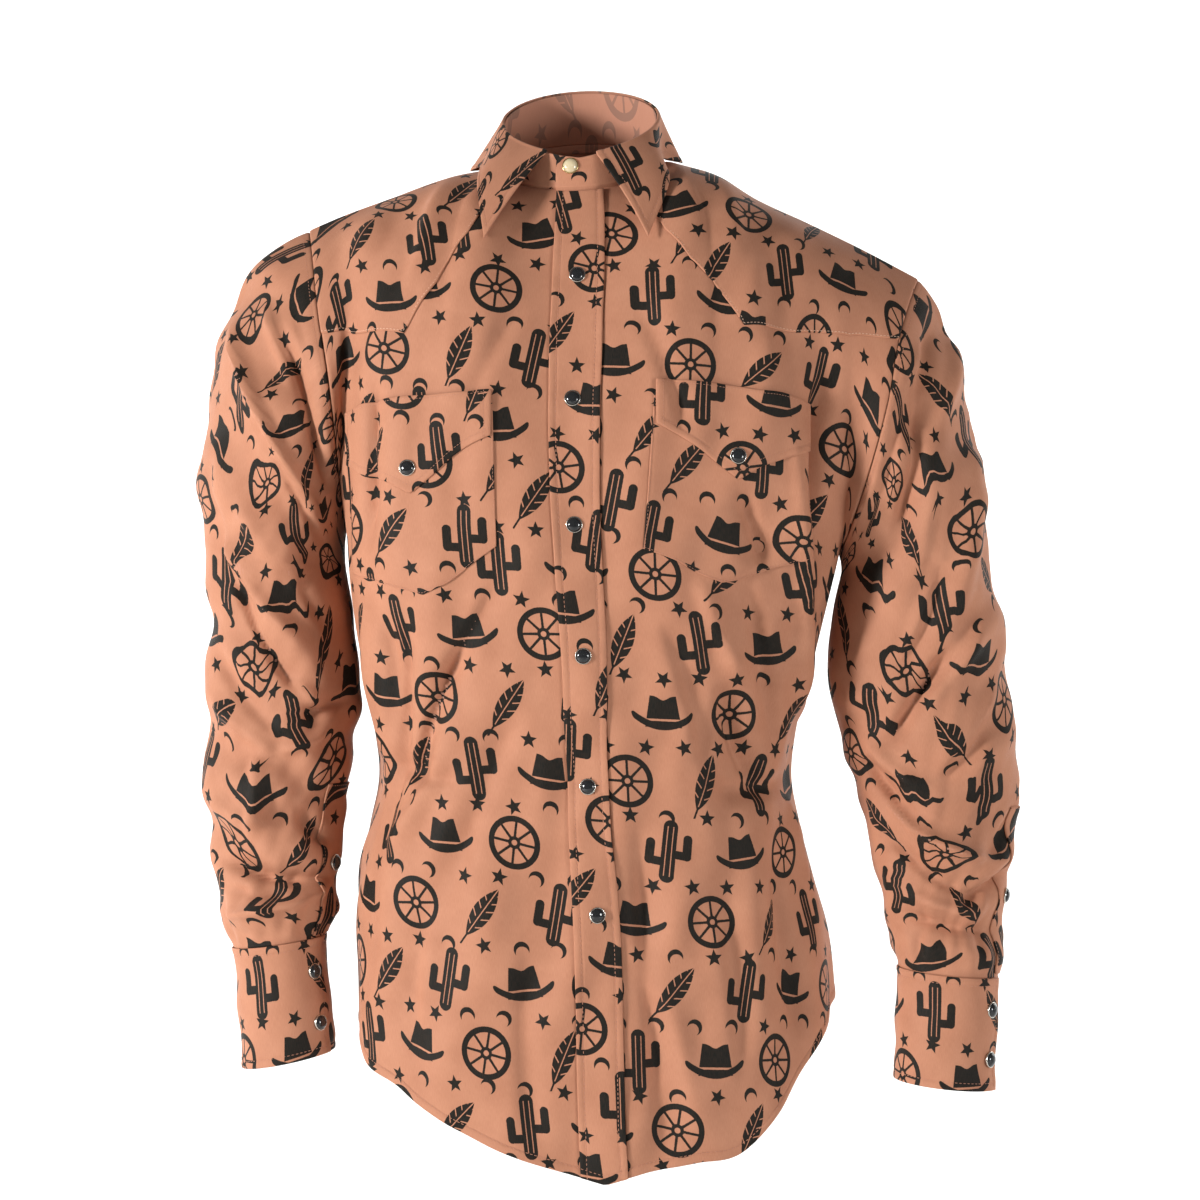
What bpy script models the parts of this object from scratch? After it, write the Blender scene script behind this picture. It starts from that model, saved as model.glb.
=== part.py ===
"""Western snap shirt as it is worn, buttoned up, with both arms hanging.

Every cloth piece is a closed wall whose outer face is a function of two
parameters.  The two fronts and the back share one torso surface, each sleeve
and cuff has its own tube, and what is sewn onto a panel is read from that
panel's surface and moved out.  All tables are in millimetres.  "right" and
"left" are the wearer's: the right side lies on -X, and the front faces -Y.
"""
import bpy
import numpy as np

MM = 0.001

# --- cloth -------------------------------------------------------------------
CLOTH = 1.2            # wall of one worn layer
DOUBLE_CLOTH = 1.6     # wall of a folded or interfaced piece
SEAM_GAP = 0.3         # clear space between neighbouring pieces

# --- neck --------------------------------------------------------------------
NECK_RADIUS_X = 62.0
NECK_RADIUS_Y = 63.5
NECK_CENTRE_Y = 1.5
NECK_SIDE_Z = 18.0     # height of the neckline at the sides
NECK_TILT = 25.0       # the back is this much higher than the side, the front lower
NECK_LEAN = 3.0        # the left side is this much higher than the middle
NECK_SHARE = 0.37      # share of a panel's upper edge that belongs to the neckline

# --- torso columns above the armpits -------------------------------------------
CHEST_FULLNESS = 1.05     # length of a column's start slope, in chord lengths
SHOULDER_FULLNESS = 1.10  # length of its end slope
ARMHOLE_PULL = 2.5        # power of the width share with which the armhole pulls a column
SIDE_SHARE = 0.8          # beyond this width share the surface runs across to the armhole


def table(columns, rows):
    """Return a table as one array per named column."""
    return dict(zip(columns.split(), np.array(rows, float).T))


# Torso levels from the hem to the armpits: the side points on the right and on
# the left, the foremost and the rearmost depth, and the centre-front line.
TORSO = table("z right_x right_y left_x left_y front_y back_y centre_x", [
    (-790, -170, 12, 196, -12, -127, 118, 22),
    (-700, -171, 12, 197, -12, -126, 116, 17),
    (-620, -172, 12, 197, -12, -125, 112, 15),
    (-573, -172, 12, 192, -12, -124, 107, 14),
    (-534, -171, 12, 181, -12, -123, 102, 12),
    (-495, -164, 12, 171, -12, -122, 98, 9),
    (-456, -157, 12, 164, -12, -122, 97, 7),
    (-417, -161, 12, 168, -12, -124, 100, 5),
    (-378, -167, 12, 177, -12, -127, 106, 4),
    (-340, -172, 12, 187, -12, -129, 112, 2),
    (-290, -178, 12, 199, -12, -129, 119, -2),
    (-240, -183, 12, 206, -12, -127, 122, -5),
])
BACK_CENTRE_X = 24.0
# Exponents of the four quarters of the torso section: 2 is an ellipse.
SQUARENESS = {("front", "right"): 3.3, ("front", "left"): 2.4,
              ("back", "right"): 2.4, ("back", "left"): 2.4}
ARMPIT_Z = -270.0
ARMPIT_TILT = 15.0     # the right armpit is this much higher, the left one lower

# Hem height against the share of the half girth, centre (0) to side seam (1).
HEM = table("share front_right front_left back", [
    (0.00, -752, -752, -772),
    (0.12, -743, -744, -769),
    (0.29, -727, -737, -757),
    (0.43, -709, -731, -736),
    (0.56, -688, -703, -706),
    (0.68, -672, -668, -676),
    (0.82, -655, -637, -651),
    (1.00, -643, -620, -640),
])

# Shoulder seams from the neck out to the armhole.
SHOULDER = {
    "right": table("x y z", [
        (-62, 1.5, 15), (-99, 2, 9), (-147, 6, -7), (-190, 11, -22), (-212, 14, -31)]),
    "left": table("x y z", [
        (62, 1.5, 21), (107, -6, 8), (137, -9, -10), (175, -12, -28), (218, -14, -49),
        (262, -14, -72)]),
}

# Armhole seams from the armpit up to the end of the shoulder seam.
ARMHOLE = {
    ("front", "right"): table("x y z", [
        (-182, 12, -255), (-183, -26, -241), (-185, -56, -203), (-190, -67, -155),
        (-199, -54, -102), (-206, -24, -57), (-212, 14, -31)]),
    ("back", "right"): table("x y z", [
        (-182, 12, -255), (-183, 50, -242), (-186, 79, -204), (-192, 88, -152),
        (-202, 74, -98), (-208, 46, -54), (-212, 14, -31)]),
    ("front", "left"): table("x y z", [
        (200, -12, -285), (205, -50, -268), (219, -74, -222), (233, -80, -168),
        (243, -64, -120), (253, -40, -91), (262, -14, -72)]),
    ("back", "left"): table("x y z", [
        (200, -12, -285), (206, 30, -268), (220, 62, -222), (234, 70, -168),
        (246, 58, -120), (255, 28, -90), (262, -14, -72)]),
}

# Arm levels below the armpit: outer and inner edge, front and back depth.
ARM = {
    "right": table("z outer_x inner_x front_y back_y", [
        (-700, -257, -187, -68, 10),
        (-640, -261, -191, -66, 12),
        (-590, -265, -196, -66, 14),
        (-560, -273, -192, -66, 20),
        (-520, -282, -186, -62, 28),
        (-476, -291, -182, -55, 40),
        (-430, -291, -175, -50, 52),
        (-378, -291, -172, -50, 62),
        (-340, -290, -177, -50, 68),
        (-290, -292, -184, -52, 74),
    ]),
    "left": table("z outer_x inner_x front_y back_y", [
        (-700, 317, 241, -86, -8),
        (-650, 318, 243, -84, -6),
        (-603, 320, 244, -84, -4),
        (-570, 320, 237, -84, 0),
        (-530, 327, 228, -82, 8),
        (-476, 338, 215, -78, 20),
        (-430, 337, 203, -74, 32),
        (-378, 332, 192, -72, 42),
        (-339, 327, 195, -72, 48),
        (-290, 320, 205, -72, 54),
    ]),
}
CAP_Z = -300.0         # level where the sleeve cap has become a plain tube
# The cap's start slope: its outward share at the shoulder, and its length in chords.
CAP_START = {"right": (0.83, 1.03), "left": (0.62, 0.62)}
SLEEVE_CLEARANCE = 1.0 # the sleeve starts this far outside the armhole seam
GATHERS = 11           # gathers of the sleeve into its cuff
GATHER_DEPTH = 1.5
BLOUSE = 3.0           # how far the sleeve swells above the cuff

# Cuff seams: height at the outer edge and at the inner edge.
CUFF = {
    "right": {"top": (-587.0, -577.0), "bottom": (-679.0, -665.0)},
    "left": {"top": (-607.0, -600.0), "bottom": (-692.0, -685.0)},
}


def smooth(knots, values, at):
    """Read a curve through the table's rows, with central-difference slopes."""
    slopes = np.gradient(values, knots)
    at = np.clip(at, knots[0], knots[-1])
    cell = np.clip(np.searchsorted(knots, at, side="right") - 1, 0, len(knots) - 2)
    width = knots[cell + 1] - knots[cell]
    f = (at - knots[cell]) / width
    start, end = values[cell], values[cell + 1]
    lead = width * slopes[cell]
    tail = width * slopes[cell + 1]
    return (start * (1 + 2 * f) * (1 - f) ** 2 + lead * f * (1 - f) ** 2
            + end * f * f * (3 - 2 * f) + tail * f * f * (f - 1))


def along_table(rows, share):
    """Read the x, y, z table at a share (0 to 1) of its length."""
    points = np.stack([rows["x"], rows["y"], rows["z"]], axis=1)
    steps = np.linalg.norm(np.diff(points, axis=0), axis=1)
    knots = np.concatenate([[0.0], np.cumsum(steps)])
    knots /= knots[-1]
    return np.stack([smooth(knots, points[:, k], share) for k in range(3)], axis=-1)


def hermite(start, lead, end, tail, f):
    """Cubic from start to end with the slopes lead and tail, at f (0 to 1)."""
    f = f[..., None]
    return (start * (1 + 2 * f) * (1 - f) ** 2 + lead * f * (1 - f) ** 2
            + end * f * f * (3 - 2 * f) + tail * f * f * (f - 1))


def ease(low, high, value):
    """Smooth step from 0 at low to 1 at high."""
    f = np.clip((value - low) / (high - low), 0.0, 1.0)
    return f * f * (3 - 2 * f)


def unit(vectors):
    """Vectors scaled to length 1."""
    return vectors / np.maximum(np.linalg.norm(vectors, axis=-1, keepdims=True), 1e-9)


# --- torso surface -----------------------------------------------------------
def section_radius(phi, squareness):
    """Radius of the unit superellipse at an angle."""
    return (np.cos(phi) ** squareness + np.sin(phi) ** squareness) ** (-1 / squareness)


def even_section(squareness, half_width=186.0, depth=124.0, samples=181):
    """Return shares of a section's length and the angles they stand for."""
    phi = np.linspace(0.0, np.pi / 2, samples)
    radius = section_radius(phi, squareness)
    x, y = half_width * radius * np.sin(phi), depth * radius * np.cos(phi)
    length = np.concatenate([[0.0], np.cumsum(np.hypot(np.diff(x), np.diff(y)))])
    return length / length[-1], phi


EVEN_SECTION = {quarter: even_section(power) for quarter, power in SQUARENESS.items()}


def section_at(face, side, share):
    """Sine, cosine and radius of a section quarter at a share of its length."""
    phi = np.interp(share, *EVEN_SECTION[face, side])
    return np.sin(phi), np.cos(phi), section_radius(phi, SQUARENESS[face, side])


def by_side(u, right, left):
    """Pick the right side's value where u is negative, else the left side's."""
    return np.where(u < 0, right, left)


def torso_ring(face, u, z):
    """Torso section at height z; u runs from -1 (right side seam) to 1 (left)."""
    share = np.abs(u)
    quarters = [section_at(face, side, share) for side in ("right", "left")]
    sine, cosine, radius = [by_side(u, right, left) for right, left in zip(*quarters)]
    level = {name: smooth(TORSO["z"], TORSO[name], z) for name in TORSO if name != "z"}
    side_x = by_side(u, level["right_x"], level["left_x"])
    side_y = by_side(u, level["right_y"], level["left_y"]) * sine ** 2
    centre_x = level["centre_x"] if face == "front" else BACK_CENTRE_X
    depth_y = level["front_y"] if face == "front" else level["back_y"]
    x = centre_x + (side_x - centre_x) * radius * sine
    y = side_y + (depth_y - side_y) * radius * cosine
    return np.stack([x, y, z + 0 * x], axis=-1)


def hem_height(face, u):
    """Height of the hem at a share of the half girth."""
    share = np.abs(u)
    front = by_side(u, smooth(HEM["share"], HEM["front_right"], share),
                    smooth(HEM["share"], HEM["front_left"], share))
    if face == "front":
        return front
    side = by_side(u, HEM["front_right"][-1], HEM["front_left"][-1])
    back = smooth(HEM["share"], HEM["back"], share)
    return back + (side - HEM["back"][-1]) * ease(0.0, 1.0, share)


def neckline(angle):
    """Neck seam at an angle from the front (0) over the left side to the back."""
    return np.stack([
        NECK_RADIUS_X * np.sin(angle),
        NECK_CENTRE_Y - NECK_RADIUS_Y * np.cos(angle),
        NECK_SIDE_Z - NECK_TILT * np.cos(angle) + NECK_LEAN * np.sin(angle),
    ], axis=-1)


def upper_edge(face, u):
    """Neckline and then shoulder seam of a panel, against its width share."""
    share = np.abs(u)
    quarter = np.clip(share / NECK_SHARE, 0.0, 1.0) * np.pi / 2
    sign = by_side(u, -1.0, 1.0)
    angle = sign * (quarter if face == "front" else np.pi - quarter)
    out = np.clip((share - NECK_SHARE) / (1.0 - NECK_SHARE), 0.0, 1.0)
    seam = by_side(u[..., None], along_table(SHOULDER["right"], out),
                   along_table(SHOULDER["left"], out))
    return np.where((share < NECK_SHARE)[..., None], neckline(angle), seam)


def armhole(face, u, share):
    """Armhole seam from the armpit (0) to the shoulder seam (1)."""
    return by_side(u[..., None], along_table(ARMHOLE[face, "right"], share),
                   along_table(ARMHOLE[face, "left"], share))


def torso(face, u, t):
    """Smooth torso: t is 0 at the hem, 1 at the armpits and 2 at the top edge."""
    u, t = np.broadcast_arrays(np.asarray(u, float), np.asarray(t, float))
    armpit = ARMPIT_Z - ARMPIT_TILT * u
    hem = hem_height(face, u)
    lower = torso_ring(face, u, hem + (armpit - hem) * np.clip(t, 0.0, 1.0))
    f = np.clip(t - 1.0, 0.0, 1.0)
    return np.where((t < 1.0)[..., None], lower, chest(face, u, f))


def chest(face, u, f):
    """Chest surface: columns as far as SIDE_SHARE, and from there across to the armhole."""
    share, sign = np.abs(u), np.where(u < 0, -1.0, 1.0)
    inner = chest_column(face, sign * np.minimum(share, SIDE_SHARE), f)
    across = np.clip((share - SIDE_SHARE) / (1 - SIDE_SHARE), 0.0, 1.0)
    rim = sign * SIDE_SHARE

    def side_piece(f):
        start = chest_column(face, rim, f)
        step = 0.02
        lead = (start - chest_column(face, rim * (1 - step), f)) / (step * SIDE_SHARE) * (1 - SIDE_SHARE)
        end = armhole(face, sign, f)
        return hermite(start, lead, end, end - start, across)

    low = torso_ring(face, u, ARMPIT_Z - ARMPIT_TILT * u) - side_piece(0 * f)
    high = upper_edge(face, u) - side_piece(1 + 0 * f)
    f3 = f[..., None]
    outer = side_piece(f) + low * (1 - f3) ** 3 + high * f3 ** 3
    return np.where((share > SIDE_SHARE)[..., None], outer, inner)


def chest_column(face, u, f):
    """Cubic column from the armpit level to the top edge, drawn toward the armhole."""
    armpit = ARMPIT_Z - ARMPIT_TILT * u
    share, forward = np.abs(u), (-1.0 if face == "front" else 1.0)
    base = torso_ring(face, u, armpit)
    slope = base - torso_ring(face, u, armpit - 10.0)
    top = upper_edge(face, u)
    reach = np.linalg.norm(top - base, axis=-1, keepdims=True)
    over = ease(0.0, NECK_SHARE, share)
    aim = np.stack([
        -np.sign(u) * 0.45 * over * (1 - ease(NECK_SHARE, NECK_SHARE + 0.25, share)),
        forward * (-0.38 - 0.60 * over),
        0.93 - 0.90 * over,
    ], axis=-1)
    columns = hermite(base, unit(slope) * reach * CHEST_FULLNESS, top,
                      unit(aim) * reach * SHOULDER_FULLNESS, f)
    edge = np.where(u < 0, -1.0, 1.0)
    drawn = armhole(face, edge, f) - chest_edge(face, edge, f)
    return columns + (share ** ARMHOLE_PULL)[..., None] * drawn


def chest_edge(face, edge, f):
    """The cubic column that lies beneath the armhole seam itself."""
    armpit = ARMPIT_Z - ARMPIT_TILT * edge
    base = torso_ring(face, edge, armpit)
    top = upper_edge(face, edge)
    reach = np.linalg.norm(top - base, axis=-1, keepdims=True)
    lead = unit(armhole(face, edge, 0.04 + 0 * edge) - armhole(face, edge, 0 * edge))
    forward = -1.0 if face == "front" else 1.0
    aim = np.stack([0 * edge, forward * -0.98 + 0 * edge, 0.03 + 0 * edge], axis=-1)
    return hermite(base, lead * reach * CHEST_FULLNESS, top,
                   unit(aim) * reach * SHOULDER_FULLNESS, f)


# --- folds -------------------------------------------------------------------
# Each fold runs from its start through its middle to its end, as seen from the
# front (x, z); depth is positive for a ridge and negative for a trough.
FOLD_COLUMNS = "x0 z0 xm zm x1 z1 width depth"
TORSO_FOLDS = {
    "front": table(FOLD_COLUMNS, [
        (183, -150, 181, -220, 178, -292, 13, -7),      # chest trough, left
        (160, -190, 166, -310, 165, -445, 16, 4),       # ridge beside it
        (118, -236, 131, -268, 141, -296, 14, -4),
        (104, -380, 120, -428, 142, -472, 16, -5),
        (45, -480, 52, -600, 66, -745, 24, -4),
        (150, -500, 156, -580, 170, -650, 18, -4),
        (-84, -352, -112, -407, -136, -478, 16, -5),
        (-128, -318, -140, -415, -154, -520, 15, -5),
        (-60, -500, -66, -600, -62, -720, 26, 4),
        (-152, -150, -158, -215, -160, -285, 14, -5),
    ]),
    "back": table(FOLD_COLUMNS, [
        (-120, -150, -112, -280, -90, -420, 22, 5),
        (-76, -180, -64, -380, -52, -640, 24, -5),
        (22, -200, 26, -420, 22, -700, 26, 4),
        (104, -190, 92, -400, 78, -650, 24, -6),
        (160, -160, 150, -290, 132, -430, 20, 5),
        (-150, -520, -120, -600, -104, -700, 22, 4),
    ]),
}
SLEEVE_FOLDS = {
    ("right", "front"): table(FOLD_COLUMNS, [
        (-235, -95, -206, -180, -190, -238, 13, -6),
        (-268, -106, -236, -190, -186, -286, 11, 6),
        (-279, -285, -242, -352, -206, -394, 15, -7),
        (-262, -316, -226, -370, -188, -414, 13, 4),
        (-214, -410, -196, -404, -174, -396, 9, -5),
        (-284, -514, -236, -530, -188, -532, 11, -6),
        (-270, -560, -228, -553, -192, -538, 10, 5),
        (-250, -430, -246, -470, -252, -505, 16, 4),
        (-320, -228, -294, -238, -262, -250, 26, 10),
    ]),
    ("right", "back"): table(FOLD_COLUMNS, [
        (-262, -110, -238, -190, -200, -270, 16, -5),
        (-288, -330, -246, -372, -196, -398, 14, -6),
        (-284, -420, -240, -420, -190, -430, 13, 5),
        (-282, -520, -240, -536, -196, -540, 12, -5),
        (-320, -228, -294, -238, -262, -250, 26, 10),
    ]),
    ("left", "front"): table(FOLD_COLUMNS, [
        (286, -350, 256, -392, 226, -436, 15, -6),
        (212, -440, 232, -466, 266, -502, 12, -6),
        (226, -464, 272, -505, 322, -517, 11, 6),
        (328, -522, 308, -538, 286, -548, 10, -5),
        (240, -556, 276, -566, 318, -572, 11, -5),
        (262, -140, 256, -210, 228, -290, 16, -5),
        (300, -180, 296, -260, 280, -330, 18, 4),
    ]),
    ("left", "back"): table(FOLD_COLUMNS, [
        (300, -130, 280, -210, 240, -290, 16, -5),
        (326, -360, 286, -404, 222, -430, 14, -6),
        (322, -460, 280, -462, 226, -470, 13, 5),
        (322, -540, 282, -556, 246, -562, 12, -5),
    ]),
}
FOLD_STEPS = 7         # straight steps that stand for one fold's curve


def crease(x, z, folds):
    """Height that a table of folds adds at the front-view places x, z."""
    total = np.zeros(np.shape(x))
    for x0, z0, xm, zm, x1, z1, width, depth in zip(*folds.values()):
        best = np.full(np.shape(x), 1e9)
        reached = np.zeros(np.shape(x))
        steps = np.linspace(0.0, 1.0, FOLD_STEPS + 1)
        curve_x = x0 * (1 - steps) ** 2 + (4 * xm - x0 - x1) * (1 - steps) * steps + x1 * steps ** 2
        curve_z = z0 * (1 - steps) ** 2 + (4 * zm - z0 - z1) * (1 - steps) * steps + z1 * steps ** 2
        for k in range(FOLD_STEPS):
            run_x, run_z = curve_x[k + 1] - curve_x[k], curve_z[k + 1] - curve_z[k]
            place = ((x - curve_x[k]) * run_x + (z - curve_z[k]) * run_z) / (run_x ** 2 + run_z ** 2)
            place = np.clip(place, 0.0, 1.0)
            away = np.hypot(x - curve_x[k] - place * run_x, z - curve_z[k] - place * run_z)
            reached = np.where(away < best, (k + place) / FOLD_STEPS, reached)
            best = np.minimum(away, best)
        fade = ease(-0.05, 0.3, reached) * (1 - ease(0.7, 1.05, reached))
        total = total + depth * np.exp(-(best / width) ** 2) * fade
    return total


def normals_of(shape, u, v, step=0.004):
    """Outward unit normals of a surface function, from four nearby points."""
    across = shape(u + step, v) - shape(u - step, v)
    along = shape(u, v + step) - shape(u, v - step)
    return unit(np.cross(across, along))


def worn(face):
    """Torso surface with its folds, as a function of u and t."""
    turn = 1.0 if face == "front" else -1.0

    def folded(u, t):
        u, t = np.broadcast_arrays(np.asarray(u, float), np.asarray(t, float))
        points = torso(face, u, t)
        inner_u, inner_t = np.clip(u, -0.98, 0.98), np.clip(t, 0.01, 1.98)
        out = turn * normals_of(lambda a, b: torso(face, a, b), inner_u, inner_t)
        height = crease(points[..., 0], points[..., 2], TORSO_FOLDS[face])
        keep = (1 - ease(0.86, 0.98, np.abs(u))) * (1 - ease(1.75, 1.98, t))
        return points + out * (height * keep)[..., None]

    return folded


FRONT, BACK = worn("front"), worn("back")


def arm_ring(side, u, z):
    """Arm section at level z; u is 0 outside, 0.25 in front and 0.5 inside."""
    level = {name: smooth(ARM[side]["z"], ARM[side][name], z) for name in ARM[side] if name != "z"}
    middle_x = (level["outer_x"] + level["inner_x"]) / 2
    middle_y = (level["front_y"] + level["back_y"]) / 2
    x = middle_x + (level["outer_x"] - level["inner_x"]) / 2 * np.cos(2 * np.pi * u)
    y = middle_y - (level["back_y"] - level["front_y"]) / 2 * np.sin(2 * np.pi * u)
    (outer_z, inner_z) = CUFF[side]["top"]
    slope = (inner_z - outer_z) / (level["inner_x"] - level["outer_x"])
    tilt = slope * ease(CAP_Z, outer_z, z) * (x - middle_x)
    return np.stack([x, y, z + tilt + 0 * x], axis=-1)


def cap(side, u, f):
    """Sleeve cap from the armhole seam (f = 0) to the plain tube (f = 1)."""
    out = -1.0 if side == "right" else 1.0
    turn = np.mod(u, 1.0)
    front = armhole("front", out + 0 * u, np.clip(1 - 2 * turn, 0, 1))
    back = armhole("back", out + 0 * u, np.clip(2 * turn - 1, 0, 1))
    start = np.where((turn < 0.5)[..., None], front, back)
    start = start + np.array([out * SLEEVE_CLEARANCE, 0.0, 0.0])
    end = arm_ring(side, u, CAP_Z + 0 * u)
    tail = end - arm_ring(side, u, CAP_Z + 10.0 + 0 * u)
    reach = np.linalg.norm(end - start, axis=-1, keepdims=True)
    sweep, fullness = CAP_START[side]
    outward = 0.12 + sweep * np.cos(np.pi * turn) ** 2
    lead = np.stack([out * outward, -0.2 * np.sin(2 * np.pi * turn),
                     -np.sqrt(1 - outward ** 2)], axis=-1)
    return hermite(start, unit(lead) * reach * fullness, end, unit(tail) * reach, f)


def sleeve(side):
    """Sleeve surface with its folds; w is 0 at the armhole and 2 at the cuff."""
    out = -1.0 if side == "right" else 1.0

    def smooth_tube(u, w):
        u, w = np.broadcast_arrays(np.asarray(u, float), np.asarray(w, float))
        level = CAP_Z + (sum(CUFF[side]["top"]) / 2 + SEAM_GAP * 2 - CAP_Z) * np.clip(w - 1, 0, 1.02)
        upper = cap(side, u, np.clip(w, 0.0, 1.0))
        return np.where((w < 1.0)[..., None], upper, arm_ring(side, u, level))

    def folded(u, w):
        u, w = np.broadcast_arrays(np.asarray(u, float), np.asarray(w, float))
        points = smooth_tube(u, w)
        normal = out * normals_of(smooth_tube, u, np.clip(w, 0.01, 1.99))
        front = crease(points[..., 0], points[..., 2], SLEEVE_FOLDS[side, "front"])
        back = crease(points[..., 0], points[..., 2], SLEEVE_FOLDS[side, "back"])
        facing = ease(-0.45, 0.45, -normal[..., 1])
        keep = ease(0.02, 0.22, w) * (1 - ease(1.93, 1.995, w))
        inner = ease(0.2, 0.8, -np.cos(2 * np.pi * u)) * (1 - ease(1.2, 1.5, w))
        height = (front * facing + back * (1 - facing)) * keep * (1 - 0.8 * inner)
        gather = GATHER_DEPTH * np.sin(2 * np.pi * GATHERS * u) * ease(1.82, 1.97, w)
        height = height + gather * (1 - ease(1.97, 2.0, w)) + BLOUSE * blouse(w)
        return points + normal * height[..., None]

    return folded


def blouse(w):
    """Swell of the sleeve just above the cuff, 0 to 1."""
    return ease(1.75, 1.93, w) * (1 - ease(1.93, 1.995, w))


SLEEVE = {side: sleeve(side) for side in ("right", "left")}


# --- meshes ------------------------------------------------------------------
def grid_normals(grid, closed):
    """Unit normals of a point grid (rows along v, columns along u)."""
    if closed:
        grid = np.concatenate([grid[:, -1:], grid, grid[:, :1]], axis=1)
    cell = unit(np.cross(grid[1:, 1:] - grid[:-1, :-1], grid[1:, :-1] - grid[:-1, 1:]))
    total = np.zeros(grid.shape)
    for rows in (slice(None, -1), slice(1, None)):
        for columns in (slice(None, -1), slice(1, None)):
            total[rows, columns] += cell
    return unit(total[:, 1:-1] if closed else total)


def wall(name, outer, thickness, material, outward, closed=False, fixed=None):
    """Closed wall with the point grid as its outer face and the inner face within.

    outward holds each point's rough outward direction, and settles the side that
    the thickness goes to.  A closed grid joins its last column to its first.  fixed
    holds normals along the seams, with zeros where the grid's own are kept.
    """
    normals = grid_normals(outer, closed)
    flipped = np.sum(normals * outward) < 0
    normals = -normals if flipped else normals
    if fixed is not None:
        normals = np.where(np.any(fixed, axis=-1, keepdims=True), fixed, normals)
    inner = outer - normals * thickness
    rows, columns = outer.shape[:2]
    points = np.concatenate([outer.reshape(-1, 3), inner.reshape(-1, 3)])
    index = np.arange(rows * columns).reshape(rows, columns)
    if closed:
        index = np.concatenate([index, index[:, :1]], axis=1)
    far = index + rows * columns
    outer_faces = facets(outer, closed)
    faces = [outer_faces, (outer_faces + rows * columns)[:, ::-1],
             split(strip(index[0], far[0]))[:, ::-1], split(strip(index[-1], far[-1]))]
    if not closed:
        faces += [split(strip(index[:, 0], far[:, 0])), split(strip(index[:, -1], far[:, -1]))[:, ::-1]]
    faces = np.concatenate(faces)
    return add_mesh(name, points, faces[:, ::-1] if flipped else faces, material)


def facets(grid, closed=False):
    """Triangles of a point grid, with each cell cut along its shorter diagonal."""
    index = np.arange(grid.shape[0] * grid.shape[1]).reshape(grid.shape[:2])
    if closed:
        index = np.concatenate([index, index[:, :1]], axis=1)
    corners, points = quads(index), grid.reshape(-1, 3)
    a, b, c, d = [points[corners[:, k]] for k in range(4)]
    shorter = np.linalg.norm(c - a, axis=1) <= np.linalg.norm(d - b, axis=1)
    return split(np.where(shorter[:, None], corners, np.roll(corners, -1, axis=1)))


def quads(index):
    """Quads of a grid of point numbers."""
    return np.stack([index[:-1, :-1], index[:-1, 1:], index[1:, 1:], index[1:, :-1]],
                    axis=-1).reshape(-1, 4)


def split(faces):
    """Triangles of quads, cut along their first diagonal."""
    return np.concatenate([faces[:, [0, 1, 2]], faces[:, [0, 2, 3]]])


def strip(edge, far_edge):
    """Quads that join two rows of point numbers."""
    return np.stack([edge[:-1], edge[1:], far_edge[1:], far_edge[:-1]], axis=-1)


def clip(polygon, start, end):
    """Part of a flat polygon that lies to the left of a line."""
    kept = []
    run = end - start
    offsets = [run[0] * (p[1] - start[1]) - run[1] * (p[0] - start[0]) for p in polygon]
    for k, here in enumerate(polygon):
        there, near, far = polygon[(k + 1) % len(polygon)], offsets[k], offsets[(k + 1) % len(polygon)]
        if near >= 0:
            kept.append(here)
        if near * far < 0:
            kept.append(here + (there - here) * (near / (near - far)))
    return kept


def flat_area(polygon):
    """Signed area of a flat polygon."""
    x, y = np.array(polygon).T
    return 0.5 * np.sum(x * np.roll(y, -1) - y * np.roll(x, -1))


def turned_left(polygon):
    """The polygon with its corners in counter-clockwise order."""
    return polygon if flat_area(polygon) > 0 else polygon[::-1]


def fan(count, polygon):
    """Triangles of a polygon, from the corner that is the least convex one."""
    points = np.array(polygon)
    before, after = points - np.roll(points, 1, axis=0), np.roll(points, -1, axis=0) - points
    turn = before[:, 0] * after[:, 1] - before[:, 1] * after[:, 0]
    turn /= np.linalg.norm(before, axis=1) * np.linalg.norm(after, axis=1) + 1e-12
    first = int(np.argmin(turn))
    return [(first, (first + k) % count, (first + k + 1) % count) for k in range(1, count - 1)]


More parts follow.
